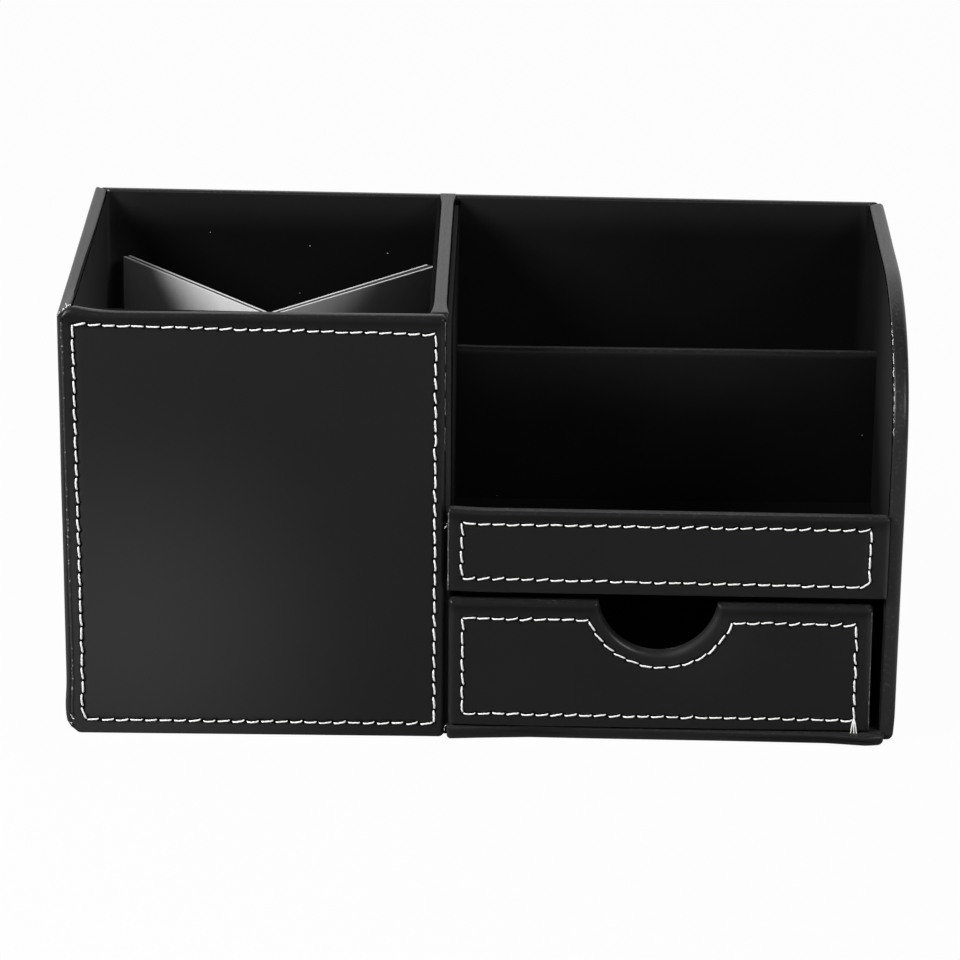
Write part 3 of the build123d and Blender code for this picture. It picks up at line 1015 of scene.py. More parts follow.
def fade_from(value, end):
    """1 at the end of a panel, 0 at the mitre's reach from it."""
    share = np.clip(np.abs(value - end) / MITRE_REACH, 0, 1)
    return 1 - share * share * (3 - 2 * share)


def mitre_back_edge(end, depth, slide):
    """The board's rear side is shorter than its face by the slide at this end."""
    def shear(points):
        moved = points.copy()
        moved[:, 0] += slide * points[:, 2] / depth * fade_from(points[:, 0], end)
        return moved
    return shear


def mitre_face(end, depth, slide, blunt=0.0):
    """The board's face is longer than its rear side by the slide at this end.

    A blunt mitre starts to recede only below this depth, so it leaves a narrow rim.
    """
    def shear(points):
        moved = points.copy()
        share = np.clip(1 - (points[:, 2] - blunt) / depth, 0, 1)
        moved[:, 0] += slide * share * fade_from(points[:, 0], end)
        return moved
    return shear


def both(*shears):
    """One shear after the other."""
    def shear(points):
        for each in shears:
            points = each(points)
        return points
    return shear


print("mitres reach", MITRE_REACH, "mm")

# %% [markdown]
# ## Front panel of the pen box
#
# The tall panel on the left has a seam all round, close to its edges. Its lower left corner is
# rounded, because the wrap runs round under the box there. Beside it, a narrow rim of the left wall
# shows. Wall and panel could be one wrap, but then that rim would be lost. The leather reaches down to
# the floor and stays a hair behind the linings at the back, so that no two surfaces lie in one plane.

# %% Pen box front
PEN_EDGE = 2.1
PEN_CORNERS = [(4.5, 6.0), 1.6, 1.6, 1.2]
PEN_TIGHT = (0.9, 0.9)
PEN_OVERLAP = 0.6
WALL_THICKNESS = 4.0
RIM_WIDTH = 1.5
RIM_SLANT = 0.8
RIM_REACH = 2.5
UNDERSIDE = 0.02
FLUSH = 0.06
PEN_SEAM = [(-119.0, 4.45), (-14.0, 4.3), (-13.75, 126.7), (-120.4, 128.6), (-119.85, 8.3)]
WIDE_INSETS = [50.0, 38.0, 28.0, 20.0, 14.0, 11.0] + FACE_INSETS


def closed_seam(corners):
    """Stitches along straight runs from corner to corner, and back to the first."""
    return sew([line_run(corners[k], corners[(k + 1) % len(corners)]) for k in range(len(corners))])


def grounded_box(node):
    """A leather node's box, let down to just above the floor."""
    low, high = mm_box(node)
    low[2] = UNDERSIDE
    return low, high


def slant_rim(points):
    """Lets the rim beside the panel grow narrower towards the top."""
    moved = points.copy()
    edge = np.clip(1 - (points[:, 0] - pen_low[0]) / RIM_REACH, 0, 1)
    moved[:, 0] -= RIM_SLANT * edge * points[:, 1] / pen_high[2]
    return moved


pen_low, pen_high = grounded_box("pen_front_leather")
pen_depth = pen_high[1] - pen_low[1] - FLUSH
pen_low[0] += RIM_WIDTH
pen_high[0] += PEN_OVERLAP
pen_seam = closed_seam(PEN_SEAM)
pen_place = facing_front(pen_low[1])
wall_depth = WALL_THICKNESS - FLUSH
pen_front = wrap_panel(
    "pen_front_wrap", panel_outline(pen_low[[0, 2]], pen_high[[0, 2]], PEN_CORNERS, tight=PEN_TIGHT),
    pen_depth, pen_place, "carcass", "pen_front_leather", edge=PEN_EDGE, insets=WIDE_INSETS, seam=pen_seam,
    reshape=both(slant_rim, mitre_back_edge(pen_low[0], pen_depth, wall_depth)))
print("pen front", len(pen_front.data.polygons), "faces,", len(pen_seam["middle"]), "stitches")

# %% [markdown]
# ## Ledge and drawer front
#
# The low ledge in front of the upper tray and the drawer front below it have the same stitched wrap.
# The drawer front has a half-round cut-out for a finger, and its seam bends round it. A Boolean could cut
# the finished panel, but it would leave a sharp edge, so the cut-out is part of the outline and the
# leather rolls over it.

# %% Ledge
LEDGE_EDGE = 1.4
LEDGE_CORNERS = [0.8, 0.8, 0.8, 0.8]
LEDGE_SEAM = [(-5.8, 50.7), (113.0, 50.0), (115.5, 51.4), (115.5, 68.1), (-5.6, 67.9)]
LEDGE_LIFT = 0.8
LEDGE_GROWTH = (0.1, 0.95)
BAY_OVERLAP = 1.25

ledge_low, ledge_high = mm_box("ledge_leather")
ledge_low[[0, 2]] -= (BAY_OVERLAP, LEDGE_GROWTH[0])
ledge_high[2] += LEDGE_GROWTH[1]
ledge_seam = closed_seam(LEDGE_SEAM)
ledge_place = facing_bay(ledge_low[1], LEDGE_LIFT)
ledge = wrap_panel(
    "ledge_wrap", panel_outline(ledge_low[[0, 2]], ledge_high[[0, 2]], LEDGE_CORNERS),
    ledge_high[1] - ledge_low[1] - FLUSH, ledge_place, "carcass", "ledge_leather", edge=LEDGE_EDGE,
    seam=ledge_seam)
print("ledge", len(ledge.data.polygons), "faces,", len(ledge_seam["middle"]), "stitches")

# %% Drawer front
DRAWER_EDGE = 2.2
DRAWER_CORNERS = [1.2, 1.2, 1.2, 1.2]
DRAWER_TIGHT = (0.0, 0.6)
FINGER_NOTCH = (53.2, 46.6, 18.0)
FINGER_SEAM = (54.0, 47.0, 23.0)
DRAWER_SEAM_LEFT, DRAWER_SEAM_RIGHT = -5.4, 112.7
DRAWER_SEAM_LOW, DRAWER_SEAM_HIGH = 8.1, 38.75
DRAWER_GROWTH = (0.3, 0.35)


def drawer_runs():
    """Down the left, along the bottom, up the right, and over the top round the cut-out."""
    across, height, radius = FINGER_SEAM
    dip = math.asin((height - DRAWER_SEAM_HIGH) / radius)
    half = radius * math.cos(dip)
    corners = [(across - half, DRAWER_SEAM_HIGH), (DRAWER_SEAM_LEFT, DRAWER_SEAM_HIGH),
               (DRAWER_SEAM_LEFT, DRAWER_SEAM_LOW), (DRAWER_SEAM_RIGHT, DRAWER_SEAM_LOW),
               (DRAWER_SEAM_RIGHT, DRAWER_SEAM_HIGH), (across + half, DRAWER_SEAM_HIGH)]
    runs = [line_run(corners[k], corners[k + 1]) for k in range(len(corners) - 1)]
    runs.append(arc_run((across, height), radius, -dip, dip - math.pi))
    return runs


drawer_low, drawer_high = mm_box("drawer_front_leather")
drawer_low[[0, 2]] -= (BAY_OVERLAP, DRAWER_GROWTH[0])
drawer_high[2] += DRAWER_GROWTH[1]
drawer_seam = sew(drawer_runs())
drawer_place = facing_bay(drawer_low[1], 0.0)
drawer_outline = panel_outline(drawer_low[[0, 2]], drawer_high[[0, 2]], DRAWER_CORNERS, FINGER_NOTCH,
                               tight=DRAWER_TIGHT)
drawer_front = wrap_panel(
    "drawer_front_wrap", drawer_outline, drawer_high[1] - drawer_low[1] - FLUSH, drawer_place, "drawer",
    "drawer_front_leather", edge=DRAWER_EDGE, seam=drawer_seam)
print("drawer front", len(drawer_front.data.polygons), "faces,", len(drawer_seam["middle"]), "stitches")

# %% [markdown]
# ## Side walls and back
#
# These boards are wrapped the same way without a seam. From the front one mostly sees their top
# edges, which mirror the bright backdrop at a grazing angle. The right wall sweeps down to the front in
# a long oval, and the left wall curls in at the bottom. Their CAD solids could stay, but sharp edges
# would not catch that light, so they get the rounded rings as well.

# %% Left wall
WALL_EDGE = 1.0
PLAIN_INSETS = [7.0, 4.5, 3.0, 2.2, 1.6]
PLAIN_STEP = 1.5
SQUARE_CORNERS = [0.4] * 4
BOTTOM_ROUND = 6.0

left_low, left_high = mm_box("left_wall_leather")
left_low[2] = UNDERSIDE + BOTTOM_ROUND - math.sqrt(BOTTOM_ROUND ** 2 - (BOTTOM_ROUND - wall_depth) ** 2)


def curl_in(points):
    """The face bends in to the round bottom edge of the pen box."""
    moved = points.copy()
    drop = np.clip(pen_low[2] + BOTTOM_ROUND - points[:, 1], 0, BOTTOM_ROUND)
    curl = BOTTOM_ROUND - np.sqrt(BOTTOM_ROUND ** 2 - drop ** 2)
    moved[:, 2] = np.clip(np.maximum(points[:, 2], curl), None, np.maximum(points[:, 2], wall_depth))
    return moved


left_wall = wrap_panel(
    "left_wall_wrap", panel_outline(left_low[[1, 2]], left_high[[1, 2]], SQUARE_CORNERS, grain=PLAIN_STEP),
    wall_depth, facing_left(left_low[0]), "carcass", "left_wall_leather", edge=WALL_EDGE,
    insets=PLAIN_INSETS,
    reshape=both(mitre_face(left_low[1], wall_depth, -pen_depth, RIM_WIDTH),
                 mitre_face(left_high[1], wall_depth, wall_depth), curl_in))
print("left wall", len(left_wall.data.polygons), "faces")

# %% Right wall
RIGHT_EDGE = 1.7
RIGHT_SWEEP = (62.0, 40.0)
RIGHT_CORNERS = [2.5, 0.4, 2.0, RIGHT_SWEEP]
RIGHT_STEP = 1.2
RIGHT_SWELL = 0.3
RIGHT_INWARD = 0.5

right_low, right_high = grounded_box("right_wall_leather")
right_high[0] += RIGHT_SWELL
right_inside = right_low[0] - RIGHT_INWARD
right_depth = wall_depth + RIGHT_SWELL + RIGHT_INWARD
right_wall = wrap_panel(
    "right_wall_wrap",
    panel_outline(right_low[[1, 2]], right_high[[1, 2]], RIGHT_CORNERS, grain=RIGHT_STEP),
    right_depth, facing_right(right_high[0]), "carcass", "right_wall_leather", edge=RIGHT_EDGE,
    insets=PLAIN_INSETS, reshape=mitre_face(right_high[1], right_depth, wall_depth))
print("right wall", len(right_wall.data.polygons), "faces")

# %% Back
BACK_EDGE = 2.0
BACK_CORNERS = [6.0, 1.5, 1.5, 1.5]
BACK_INSETS = [7.0, 4.5, 3.0, 2.4]

back_low, back_high = grounded_box("back_leather")
back_wall = wrap_panel(
    "back_wrap", panel_outline(back_low[[0, 2]], back_high[[0, 2]], BACK_CORNERS, grain=PLAIN_STEP),
    wall_depth, facing_rear(back_high[1]), "carcass", "back_leather", edge=BACK_EDGE, insets=BACK_INSETS,
    reshape=both(mitre_back_edge(back_low[0], wall_depth, wall_depth),
                 mitre_back_edge(back_high[0], wall_depth, -wall_depth)))
print("back", len(back_wall.data.polygons), "faces")

# %% [markdown]
# ## Partition
#
# The leather of the partition is folded over its top. At both ends this strip is spread and lapped
# over the top of the back and of the front panel. A separate strip could lie there, but it would show
# a second edge, so the plain wrap is widened at its ends.

# %% Partition
PARTITION_EDGE = 0.6
PARTITION_CORNERS = [0.4, 0.4, 1.2, 1.2]
FLARE_HEIGHT = 5.0
FLARE_REACH = 14.0
FLARE_WIDENING = 0.55
LAP = (0.9, 3.0)
LAP_RISE = 0.25

partition_low, partition_high = mm_box("partition_leather")
partition_depth = partition_high[0] - partition_low[0] - FLUSH
partition_low[1] -= LAP[0]
partition_high[1] += LAP[1]
partition_high[2] += LAP_RISE


def flared_top(points):
    """Widens the top of the wrap near its two ends."""
    along, up, depth = points.T
    top = np.clip(1 - (partition_high[2] - up) / FLARE_HEIGHT, 0, 1)
    to_end = np.minimum(along - partition_low[1], partition_high[1] - along)
    end = np.clip(1 - to_end / FLARE_REACH, 0, 1)
    widening = 1 + np.sqrt(top) * FLARE_WIDENING * end ** 2
    middle = partition_depth / 2
    return np.column_stack([along, up, middle + (depth - middle) * widening])


partition = wrap_panel(
    "partition_wrap",
    panel_outline(partition_low[[1, 2]], partition_high[[1, 2]], PARTITION_CORNERS, grain=PLAIN_STEP),
    partition_depth, facing_right(partition_high[0]), "carcass", "partition_leather",
    edge=PARTITION_EDGE, rear_edge=PARTITION_EDGE, insets=PLAIN_INSETS, reshape=flared_top)
print("partition", len(partition.data.polygons), "faces")

# %% [markdown]
# ## Covered boards
#
# The upright divider between the two upper compartments and the floor under the drawer are covered on
# every side, so they close over at the back instead of turning in. The stations of a wrap serve here
# too, without those inside the sheet.

# %% Cover a board
INNER_STATIONS = 4
COVER_STEP = 2.0


def cover_board(name, outline, depth, place, node, edges, insets, dark=0.0, reshape=None):
    """A board covered all round: the rings close over its rear face too."""
    stations, _ = wrap_stations(depth, *edges, insets, insets[-1])
    stations = stations[:-INNER_STATIONS] + [(insets[0], depth)]
    rings, worn = [], []
    for inset, sink in stations:
        flat = outline(inset)
        rings.append(np.column_stack([flat, np.full(len(flat), sink)]))
        worn.append(wear(inset, len(flat)))
    points = place(np.concatenate(rings))
    if reshape:
        points = reshape(points)
    marks = {"worn": np.concatenate(worn), "crease": np.full(len(points), dark)}
    faces = ring_faces(len(rings), len(rings[0]))
    return add_piece(name, points, faces, "carcass", "black_leather", [node], marks)


print("a covered board leaves out", INNER_STATIONS, "stations")

# %% Mid divider
HIDDEN_END = 1.5
MID_RISE = 0.5
# Painted shade: the whole mid divider is mixed this far towards the dead matt black, so it reads darker.
MID_PAINTED_SHADE = 0.3
MID_EDGES = (1.5, 1.5)
MID_INSETS = [6.0, 4.0, 2.5]

mid_low, mid_high = mm_box("mid_divider_cover")
mid_low[[0, 2]] -= HIDDEN_END
mid_high[0] += HIDDEN_END
mid_high[2] += MID_RISE
mid_divider = cover_board(
    "mid_divider_wrap", panel_outline(mid_low[[0, 2]], mid_high[[0, 2]], SQUARE_CORNERS, grain=COVER_STEP),
    mid_high[1] - mid_low[1], facing_front(mid_low[1]), "mid_divider_cover", MID_EDGES, MID_INSETS,
    MID_PAINTED_SHADE)
print("mid divider", len(mid_divider.data.polygons), "faces")

# %% Base
BASE_OVERLAP = (1.3, 1.0)
BASE_GAP = 0.25
BASE_CORNERS = [1.2, 1.6, 0.8, 0.5]
BASE_EDGES = (0.9, 0.4)
BASE_INSETS = [1.5, 1.35]
LIP_WAVE = ([-9.0, 0.0, 15.0, 35.0, 75.0, 105.0, 117.0, 122.0],
            [-0.6, 0.4, 1.6, 0.9, 0.0, -1.0, -3.0, -1.8])
LIP_DEPTH = 4.0

base_low, base_high = grounded_box("base_leather")
base_low[[0, 2]] += (-BASE_OVERLAP[0], BASE_GAP)
base_high[0] += BASE_OVERLAP[1]


def wavy_lip(points):
    """The front lip of the base swings in and out, and its top follows the drawer."""
    x, y, z = points.T
    front = np.clip((base_low[1] + LIP_DEPTH - y) / LIP_DEPTH, 0, 1)
    top = np.clip(z / base_high[2], 0, 1)
    return np.column_stack([x, y + front * np.interp(x, *LIP_WAVE),
                            z + front * top * BAY_TILT * (BAY_MIDDLE - x)])


base = cover_board(
    "base_wrap", panel_outline(base_low[[0, 2]], base_high[[0, 2]], BASE_CORNERS, grain=COVER_STEP),
    base_high[1] - base_low[1], facing_front(base_low[1]), "base_leather", BASE_EDGES, BASE_INSETS,
    reshape=wavy_lip)
print("base", len(base.data.polygons), "faces")

# %% [markdown]
# ## White thread
#
# Each stitch is swept along a low arch: almost flat in the middle, with its ends diving into the
# puckered holes. Three strands twist round each other, so the section has three lobes that turn on
# the way. Curves with a bevel could make the tube, but not the twist or the tapered ends.

# %% Stitches as twisted tubes
THREAD_RADIUS = 0.28
THREAD_RISE = 0.12
THREAD_DIVE = 0.75
THREAD_SPARE = 0.1
DIVE_POWER = 8
THIN_ENDS = 0.3
THIN_POWER = 10
STRANDS = 3
STRAND_RELIEF = 0.2
TWIST_TURNS = 0.9
TUBE_STEPS = 15
TUBE_SIDES = 12


def stitch_points(seam, index):
    """One stitch as rings of points: across, up, and depth below the leather's face."""
    t = np.linspace(-1, 1, TUBE_STEPS)
    along, bend = seam["along"][index], seam["bend"][index]
    sideways = np.array([-along[1], along[0]])
    run = t * (seam["length"][index] / 2 + THREAD_SPARE)
    sink = -THREAD_RISE + (THREAD_RISE + THREAD_DIVE) * t ** DIVE_POWER
    middle = seam["middle"][index] + run[:, None] * along + (bend * (1 - t ** 2))[:, None] * sideways
    climb = np.gradient(sink, run)
    steep = np.sqrt(1 + climb ** 2)
    angle = np.linspace(0, 2 * math.pi, TUBE_SIDES, endpoint=False)[None]
    twist = math.pi * TWIST_TURNS * t[:, None]
    lobes = 1 + STRAND_RELIEF * np.cos(STRANDS * (angle + twist))
    radius = THREAD_RADIUS * seam["thickness"][index] * lobes * (1 - THIN_ENDS * t ** THIN_POWER)[:, None]
    out = radius * np.sin(angle)
    flat = middle[:, None, :] + (radius * np.cos(angle))[..., None] * sideways
    flat = flat + (out * (climb / steep)[:, None])[..., None] * along
    below = sink[:, None] - out / steep[:, None]
    return np.concatenate([flat, below[..., None]], axis=2).reshape(-1, 3)


def sew_thread(name, seam, place, body, node):
    """All stitches of a seam as one piece."""
    sides = ring_faces(TUBE_STEPS, TUBE_SIDES)
    points, faces = merged((stitch_points(seam, index), sides) for index in range(len(seam["middle"])))
    return add_piece(name, place(points), faces, body, "white_thread", [node])


threads = [
    sew_thread("pen_front_thread", pen_seam, pen_place, "carcass", "pen_front_stitching"),
    sew_thread("ledge_thread", ledge_seam, ledge_place, "carcass", "ledge_stitching"),
    sew_thread("drawer_front_thread", drawer_seam, drawer_place, "drawer", "drawer_front_stitching"),
]
print("thread faces", sum(len(piece.data.polygons) for piece in threads))

# %% [markdown]
# ## Boards and linings of the carcass
#
# What is left of the carcass are flat sheets whose CAD shape is right. They only have to follow the
# lean of the box. A CAD node is never moved, so each becomes a copy with the same shift. The boards are cut
# back where the wraps round off, as a bookbinder trims the core so that it does not show at a corner.
# The linings are drawn up over the turned-in leather to just below the top edges.

# %% Trimmed boards and raised linings
TRIMS = {
    "pen_front_board": (4.5, 0.0, 1.6),
    "left_wall_board": (0.0, 4.5, 1.6),
    "back_board": (5.0, 0.0, 1.8),
    "right_wall_board": (0.0, 3.0, 1.6),
    "partition_board": (0.0, 0.0, 1.2),
    "mid_divider_board": (0.0, 0.0, 1.2),
    "ledge_board": (1.6, 0.0, 2.0),
    "base_board": (1.4, 4.0, 0.4),
    "shelf_board": (0.0, 2.5, 0.0),
}
UPPER_LINING = 128.0
LINING_TOP = 131.3
HEM = 1.2
SWEEP_CENTRE = np.array([-5.5, 92.0])
SWEEP_STRETCH = (1.048, 1.077)


def raise_lining(points):
    """Draws the top edge of a lining up to the rim of its wall."""
    raised = points.copy()
    raised[points[:, 2] > UPPER_LINING, 2] = LINING_TOP
    return raised


def raise_swept_lining(points):
    """The same for the right wall, where the edge follows the round front corner."""
    raised = points - (RIGHT_INWARD, 0, 0)
    across, up = (points[:, 1:] - SWEEP_CENTRE).T
    raised[:, 1] = SWEEP_CENTRE[0] + np.where(across < 0, across * SWEEP_STRETCH[0], across)
    raised[:, 2] = SWEEP_CENTRE[1] + np.where(up > 0, up * SWEEP_STRETCH[1], up)
    return raised


def raise_hemmed_lining(points):
    """The lining on the pen side of the partition ends in a thick hem."""
    raised = raise_lining(points)
    hem = (points[:, 2] > UPPER_LINING) & (points[:, 0] < points[:, 0].mean())
    raised[hem, 0] -= HEM
    return raised


RAISED = {node: raise_lining for node in
          ("pen_front_lining", "pen_left_lining", "pen_back_lining", "letter_back_lining")}
RAISED["letter_right_lining"] = raise_swept_lining
RAISED["pen_right_lining"] = raise_hemmed_lining
print(len(TRIMS), "boards are trimmed and", len(RAISED), "linings raised")

# %% Copies of flat CAD sheets
def sheet_points(node):
    """The points of a CAD node in millimetres, and its faces."""
    sheet = frame["nodes"][node].data
    points = np.array([vertex.co for vertex in sheet.vertices]) / MM
    return points, [tuple(face.vertices) for face in sheet.polygons]


def copy_sheet(node, reshape):
    """A reshaped copy of a flat CAD sheet that stands for it."""
    points, faces = sheet_points(node)
    body = frame["nodes"][node]["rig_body"]
    return add_piece(node + "_set", reshape(points), faces, body, SLOTS[node], [node], smooth=False)


def fitted(node):
    """How a flat sheet of the carcass is trimmed, raised or lifted."""
    def fit(points):
        trim = np.array(TRIMS.get(node, (0.0, 0.0, 0.0)))
        points = np.clip(points, points.min(axis=0) + trim, points.max(axis=0) - trim)
        if node in RAISED:
            points = RAISED[node](points)
        if node == "ledge_board":
            points[:, 2] += LEDGE_LIFT
        return points
    return fit


replaced = {node for piece in bpy.data.objects for node in piece.get("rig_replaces", [])}
settled = [copy_sheet(node, fitted(node)) for node in SLOTS
           if frame["nodes"][node]["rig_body"] == "carcass" and node not in replaced]
print("settled", len(settled), "sheets")

# %% [markdown]
# ## Drawer box
#
# The board and the lining behind the drawer front follow its finger cut-out, which sits a little to the
# left. The black paper round the outside of the drawer is folded over the top edges of its sides and
# back and runs down over the edges of its floor, so that no raw board shows. A second material on the
# boards could hide it too, but the fold is what a box maker does.

# %% Drawer boards
CUT_OUT_MIDDLE = 54.55
CUT_OUT_SHIFT = (-1.35, -0.5)
CUT_OUT_REACH = 50.0
CUT_OUT_FADE = 28.0
CUT_OUT_HEIGHTS = (12.0, 39.0)


def move_cut_out(points):
    """Shifts the middle of a drawer board towards the cut-out of the leather."""
    x, y, z = points.T
    share = np.clip((CUT_OUT_REACH - np.abs(x - CUT_OUT_MIDDLE)) / CUT_OUT_FADE, 0, 1)
    arc = share * (z > CUT_OUT_HEIGHTS[0]) * (z < CUT_OUT_HEIGHTS[1])
    return np.column_stack([x + CUT_OUT_SHIFT[0] * share, y, z + CUT_OUT_SHIFT[1] * arc])


for node in ("drawer_front_board", "drawer_front_lining"):
    copy_sheet(node, move_cut_out)
print("the cut-out moves by", CUT_OUT_SHIFT, "mm")

# %% Drawer paper
PAPER = 0.3
SKIRT = 0.15


def block(low, high):
    """The eight points and six faces of a box."""
    points = [(x, y, z) for x in (low[0], high[0]) for y in (low[1], high[1]) for z in (low[2], high[2])]
    return points, [(0, 1, 3, 2), (4, 6, 7, 5), (0, 4, 5, 1), (2, 3, 7, 6), (0, 2, 6, 4), (1, 5, 7, 3)]


wrap_low, wrap_high = mm_box("drawer_wrap")
inner_low, inner_high = mm_box("drawer_floor_lining")
floor_low, floor_high = mm_box("drawer_floor")
top, foot = wrap_high[2], floor_low[2]
folds = [
    ((wrap_low[0], wrap_low[1], top), (inner_low[0], wrap_high[1], top + PAPER)),
    ((inner_high[0], wrap_low[1], top), (wrap_high[0], wrap_high[1], top + PAPER)),
    ((wrap_low[0], inner_high[1], top), (wrap_high[0], wrap_high[1], top + PAPER)),
    ((floor_low[0] - SKIRT, floor_low[1], foot), (floor_low[0], floor_high[1], wrap_low[2])),
    ((floor_high[0], floor_low[1], foot), (floor_high[0] + SKIRT, floor_high[1], wrap_low[2])),
    ((floor_low[0], floor_high[1], foot), (floor_high[0], floor_high[1] + SKIRT, wrap_low[2])),
]
points, faces = merged([sheet_points("drawer_wrap")] + [block(low, high) for low, high in folds])
paper = add_piece("drawer_paper", points, faces, "drawer", "black_paper", ["drawer_wrap"], smooth=False)
print("drawer paper", len(paper.data.polygons), "faces")

# %% [markdown]
# ## Pen divider
#
# The cross of card stands a little askew: its right rear end is pressed down, and there the facings have
# sprung off the core a little. New sheets could be modelled, but those of the CAD frame are already
# lapped into each other, so copies of them are bent by that much.

# %% Pen divider
CROSS_MIDDLE = (-66.7, 1.5)
CROSS_HALF = (49.0, 62.0)
CROSS_DIP = 2.2
CROSS_SPREAD = 0.5


def dip_right(points):
    """Presses the right rear end of the cross down and spreads its layers."""
    from_middle = points[:, :2] - CROSS_MIDDLE
    share = np.clip(from_middle / CROSS_HALF, 0, 1).min(axis=1)
    height = points[:, 2] / points[:, 2].max()
    sideways = np.array([CROSS_HALF[1], -CROSS_HALF[0]]) / math.hypot(*CROSS_HALF)
    spread = CROSS_SPREAD * share * height * np.sign(from_middle @ sideways)
    return points + np.column_stack([spread[:, None] * sideways, -CROSS_DIP * share * height])


for node in ("divider_board_a", "divider_board_b", "divider_facings_a", "divider_facings_b"):
    copy_sheet(node, dip_right)
print("the cross dips", CROSS_DIP, "mm")

# %% [markdown]
# ## Loose threads
#
# Where the seam of the drawer front ends, its thread hangs down in three short tails. The cut edges of
# the leather also fray: pale fibres of its backing cloth stick out at the corners, and along the round
# front of the right wall they form a thin line. All of these are thin tubes along a bent line. Curves
# with a bevel could make them, but as meshes many strands can share one piece.

# %% Tubes along a line
STRAND_SIDES = 6
STRAND_END = 0.7
ASKEW = (0.31, 0.42, 0.85)


def strand(line, radius):
    """A tube along points in millimetres, thinner towards its end."""
    line = np.asarray(line, float)
    ahead = np.gradient(line, axis=0)
    ahead /= np.linalg.norm(ahead, axis=1)[:, None]
    side = np.cross(ahead, ASKEW)
    side /= np.linalg.norm(side, axis=1)[:, None]
    other = np.cross(ahead, side)
    angle = np.linspace(0, 2 * math.pi, STRAND_SIDES, endpoint=False)
    taper = radius * np.linspace(1, STRAND_END, len(line))[:, None, None]
    ring = np.cos(angle)[None, :, None] * side[:, None] + np.sin(angle)[None, :, None] * other[:, None]
    points = (line[:, None] + taper * ring).reshape(-1, 3)
    return points, ring_faces(len(line), STRAND_SIDES)


def strand_piece(name, strands, body, slot="white_thread", **marks):
    """One piece made of many strands, with a constant value for each mark."""
    points, faces = merged(strands)
    marks = {mark: np.full(len(points), value) for mark, value in marks.items()}
    return add_piece(name, points, faces, body, slot, [], marks)


print("strands have", STRAND_SIDES, "sides")

# %% Thread tails
TAIL_START = (112.7, 8.6)
TAIL_ENDS = [(111.8, 3.7), (112.8, 3.4), (113.7, 3.6)]
TAIL_RADIUS = 0.24
TAIL_POINTS = 9
TAIL_BOW = 0.7
TAIL_ROOT = 0.25
TAIL_RISE = 0.55
RISEN_SHARE = 0.25


def tail(end):
    """A thread from the last stitch that falls in a slight bow."""
    share = np.linspace(0, 1, TAIL_POINTS)
    across = TAIL_START[0] + (end[0] - TAIL_START[0]) * share ** TAIL_BOW
    up = TAIL_START[1] + (end[1] - TAIL_START[1]) * share
    depth = TAIL_ROOT - TAIL_RISE * np.minimum(1, share / RISEN_SHARE)
    return np.column_stack([across, up, depth])


tails = strand_piece("drawer_thread_tails", [strand(drawer_place(tail(end)), TAIL_RADIUS)
                                             for end in TAIL_ENDS], "drawer")
print("tails", len(tails.data.polygons), "faces")

# %% Frayed fibres and lint
FRAYS = [((-124.9, -67.4, 131.3), (-120.9, -63.4, 132.1), 26, 0.16),
         ((-10.4, -67.4, 66.6), (-10.2, -67.4, 68.4), 5, 0.1),
         ((-10.8, -67.5, 2.2), (-10.4, -67.5, 4.6), 4, 0.1),
         ((-123.4, -67.5, 3.4), (-123.0, -67.5, 5.4), 4, 0.12)]
LINT = [(-88.4, 65.9, 118.4), (-56.8, 65.9, 114.6), (-31.9, 65.9, 112.4), (-60.1, 65.9, 98.8),
        (4.0, 8.9, 51.0), (117.0, 8.9, 72.4)]
FIBRE_LENGTH = 0.8
FIBRE_POINTS = 6
FIBRE_BEND = 0.3
FIBRE_LEAN = (0, -0.5, 0.25)
LINT_LENGTH = 0.35
LINT_RADIUS = 0.1


def fibre(root, length):
    """A short bent fibre that leans forwards from its root."""
    bend = dice.normal(0, FIBRE_BEND, (2, 3))
    share = np.linspace(0, 1, FIBRE_POINTS)[:, None]
    return root + length * (share * (bend[0] + FIBRE_LEAN) + share ** 2 * bend[1])


fibres = [strand(fibre(np.array(start) + dice.uniform() * np.subtract(end, start), FIBRE_LENGTH), radius)
          for start, end, count, radius in FRAYS for _ in range(count)]
fibres += [strand(fibre(np.array(spot), LINT_LENGTH), LINT_RADIUS) for spot in LINT]
print("fibres", len(fibres))

# %% Frayed edge of the right wall
FRAY_ANGLES = [(8, 12), (13, 21), (22, 25), (26, 30), (31.5, 36), (37, 44), (45, 48), (49, 52), (54, 56)]
FRAY_RADIUS = 0.08
FRAY_SPREAD = (0.8, 1.3)
FRAY_STEP = 0.7
FRAY_INSET = 0.3
FRAY_SHAKE = 0.1


def sweep_oval(degrees, inset):
    """Points on the oval front corner of the right wall, along and up, at an inset from its edge."""
    angle = np.radians(degrees)
    return SWEEP_CENTRE + (np.array(RIGHT_SWEEP) - inset) * np.column_stack([-np.cos(angle), np.sin(angle)])


def frayed_line(first, last):
    """Shaken points on the inner front edge of the right wall, between two angles in degrees."""
    oval = sweep_oval(np.arange(first, last, FRAY_STEP), FRAY_INSET)
    line = np.column_stack([np.full(len(oval), right_inside + FRAY_INSET), oval])
    return line + dice.normal(0, FRAY_SHAKE, line.shape)


for first, last in FRAY_ANGLES:
    fibres.append(strand(frayed_line(first, last), FRAY_RADIUS * dice.uniform(*FRAY_SPREAD)))
frays = strand_piece("frayed_edges", fibres, "carcass")
print("frays", len(frays.data.polygons), "faces")

# %% [markdown]
# ## Seams and corners of the linings
#
# Between a lining and the leather that is folded over the wall runs a narrow seam, drawn as a strand
# in the dead black of the painted shade. In the upright corners the cloth doesn't fold sharply but
# bridges the corner in a small round. Both soften the inside of the box. They could be painted on the
# lining, but then they would not turn with the view.

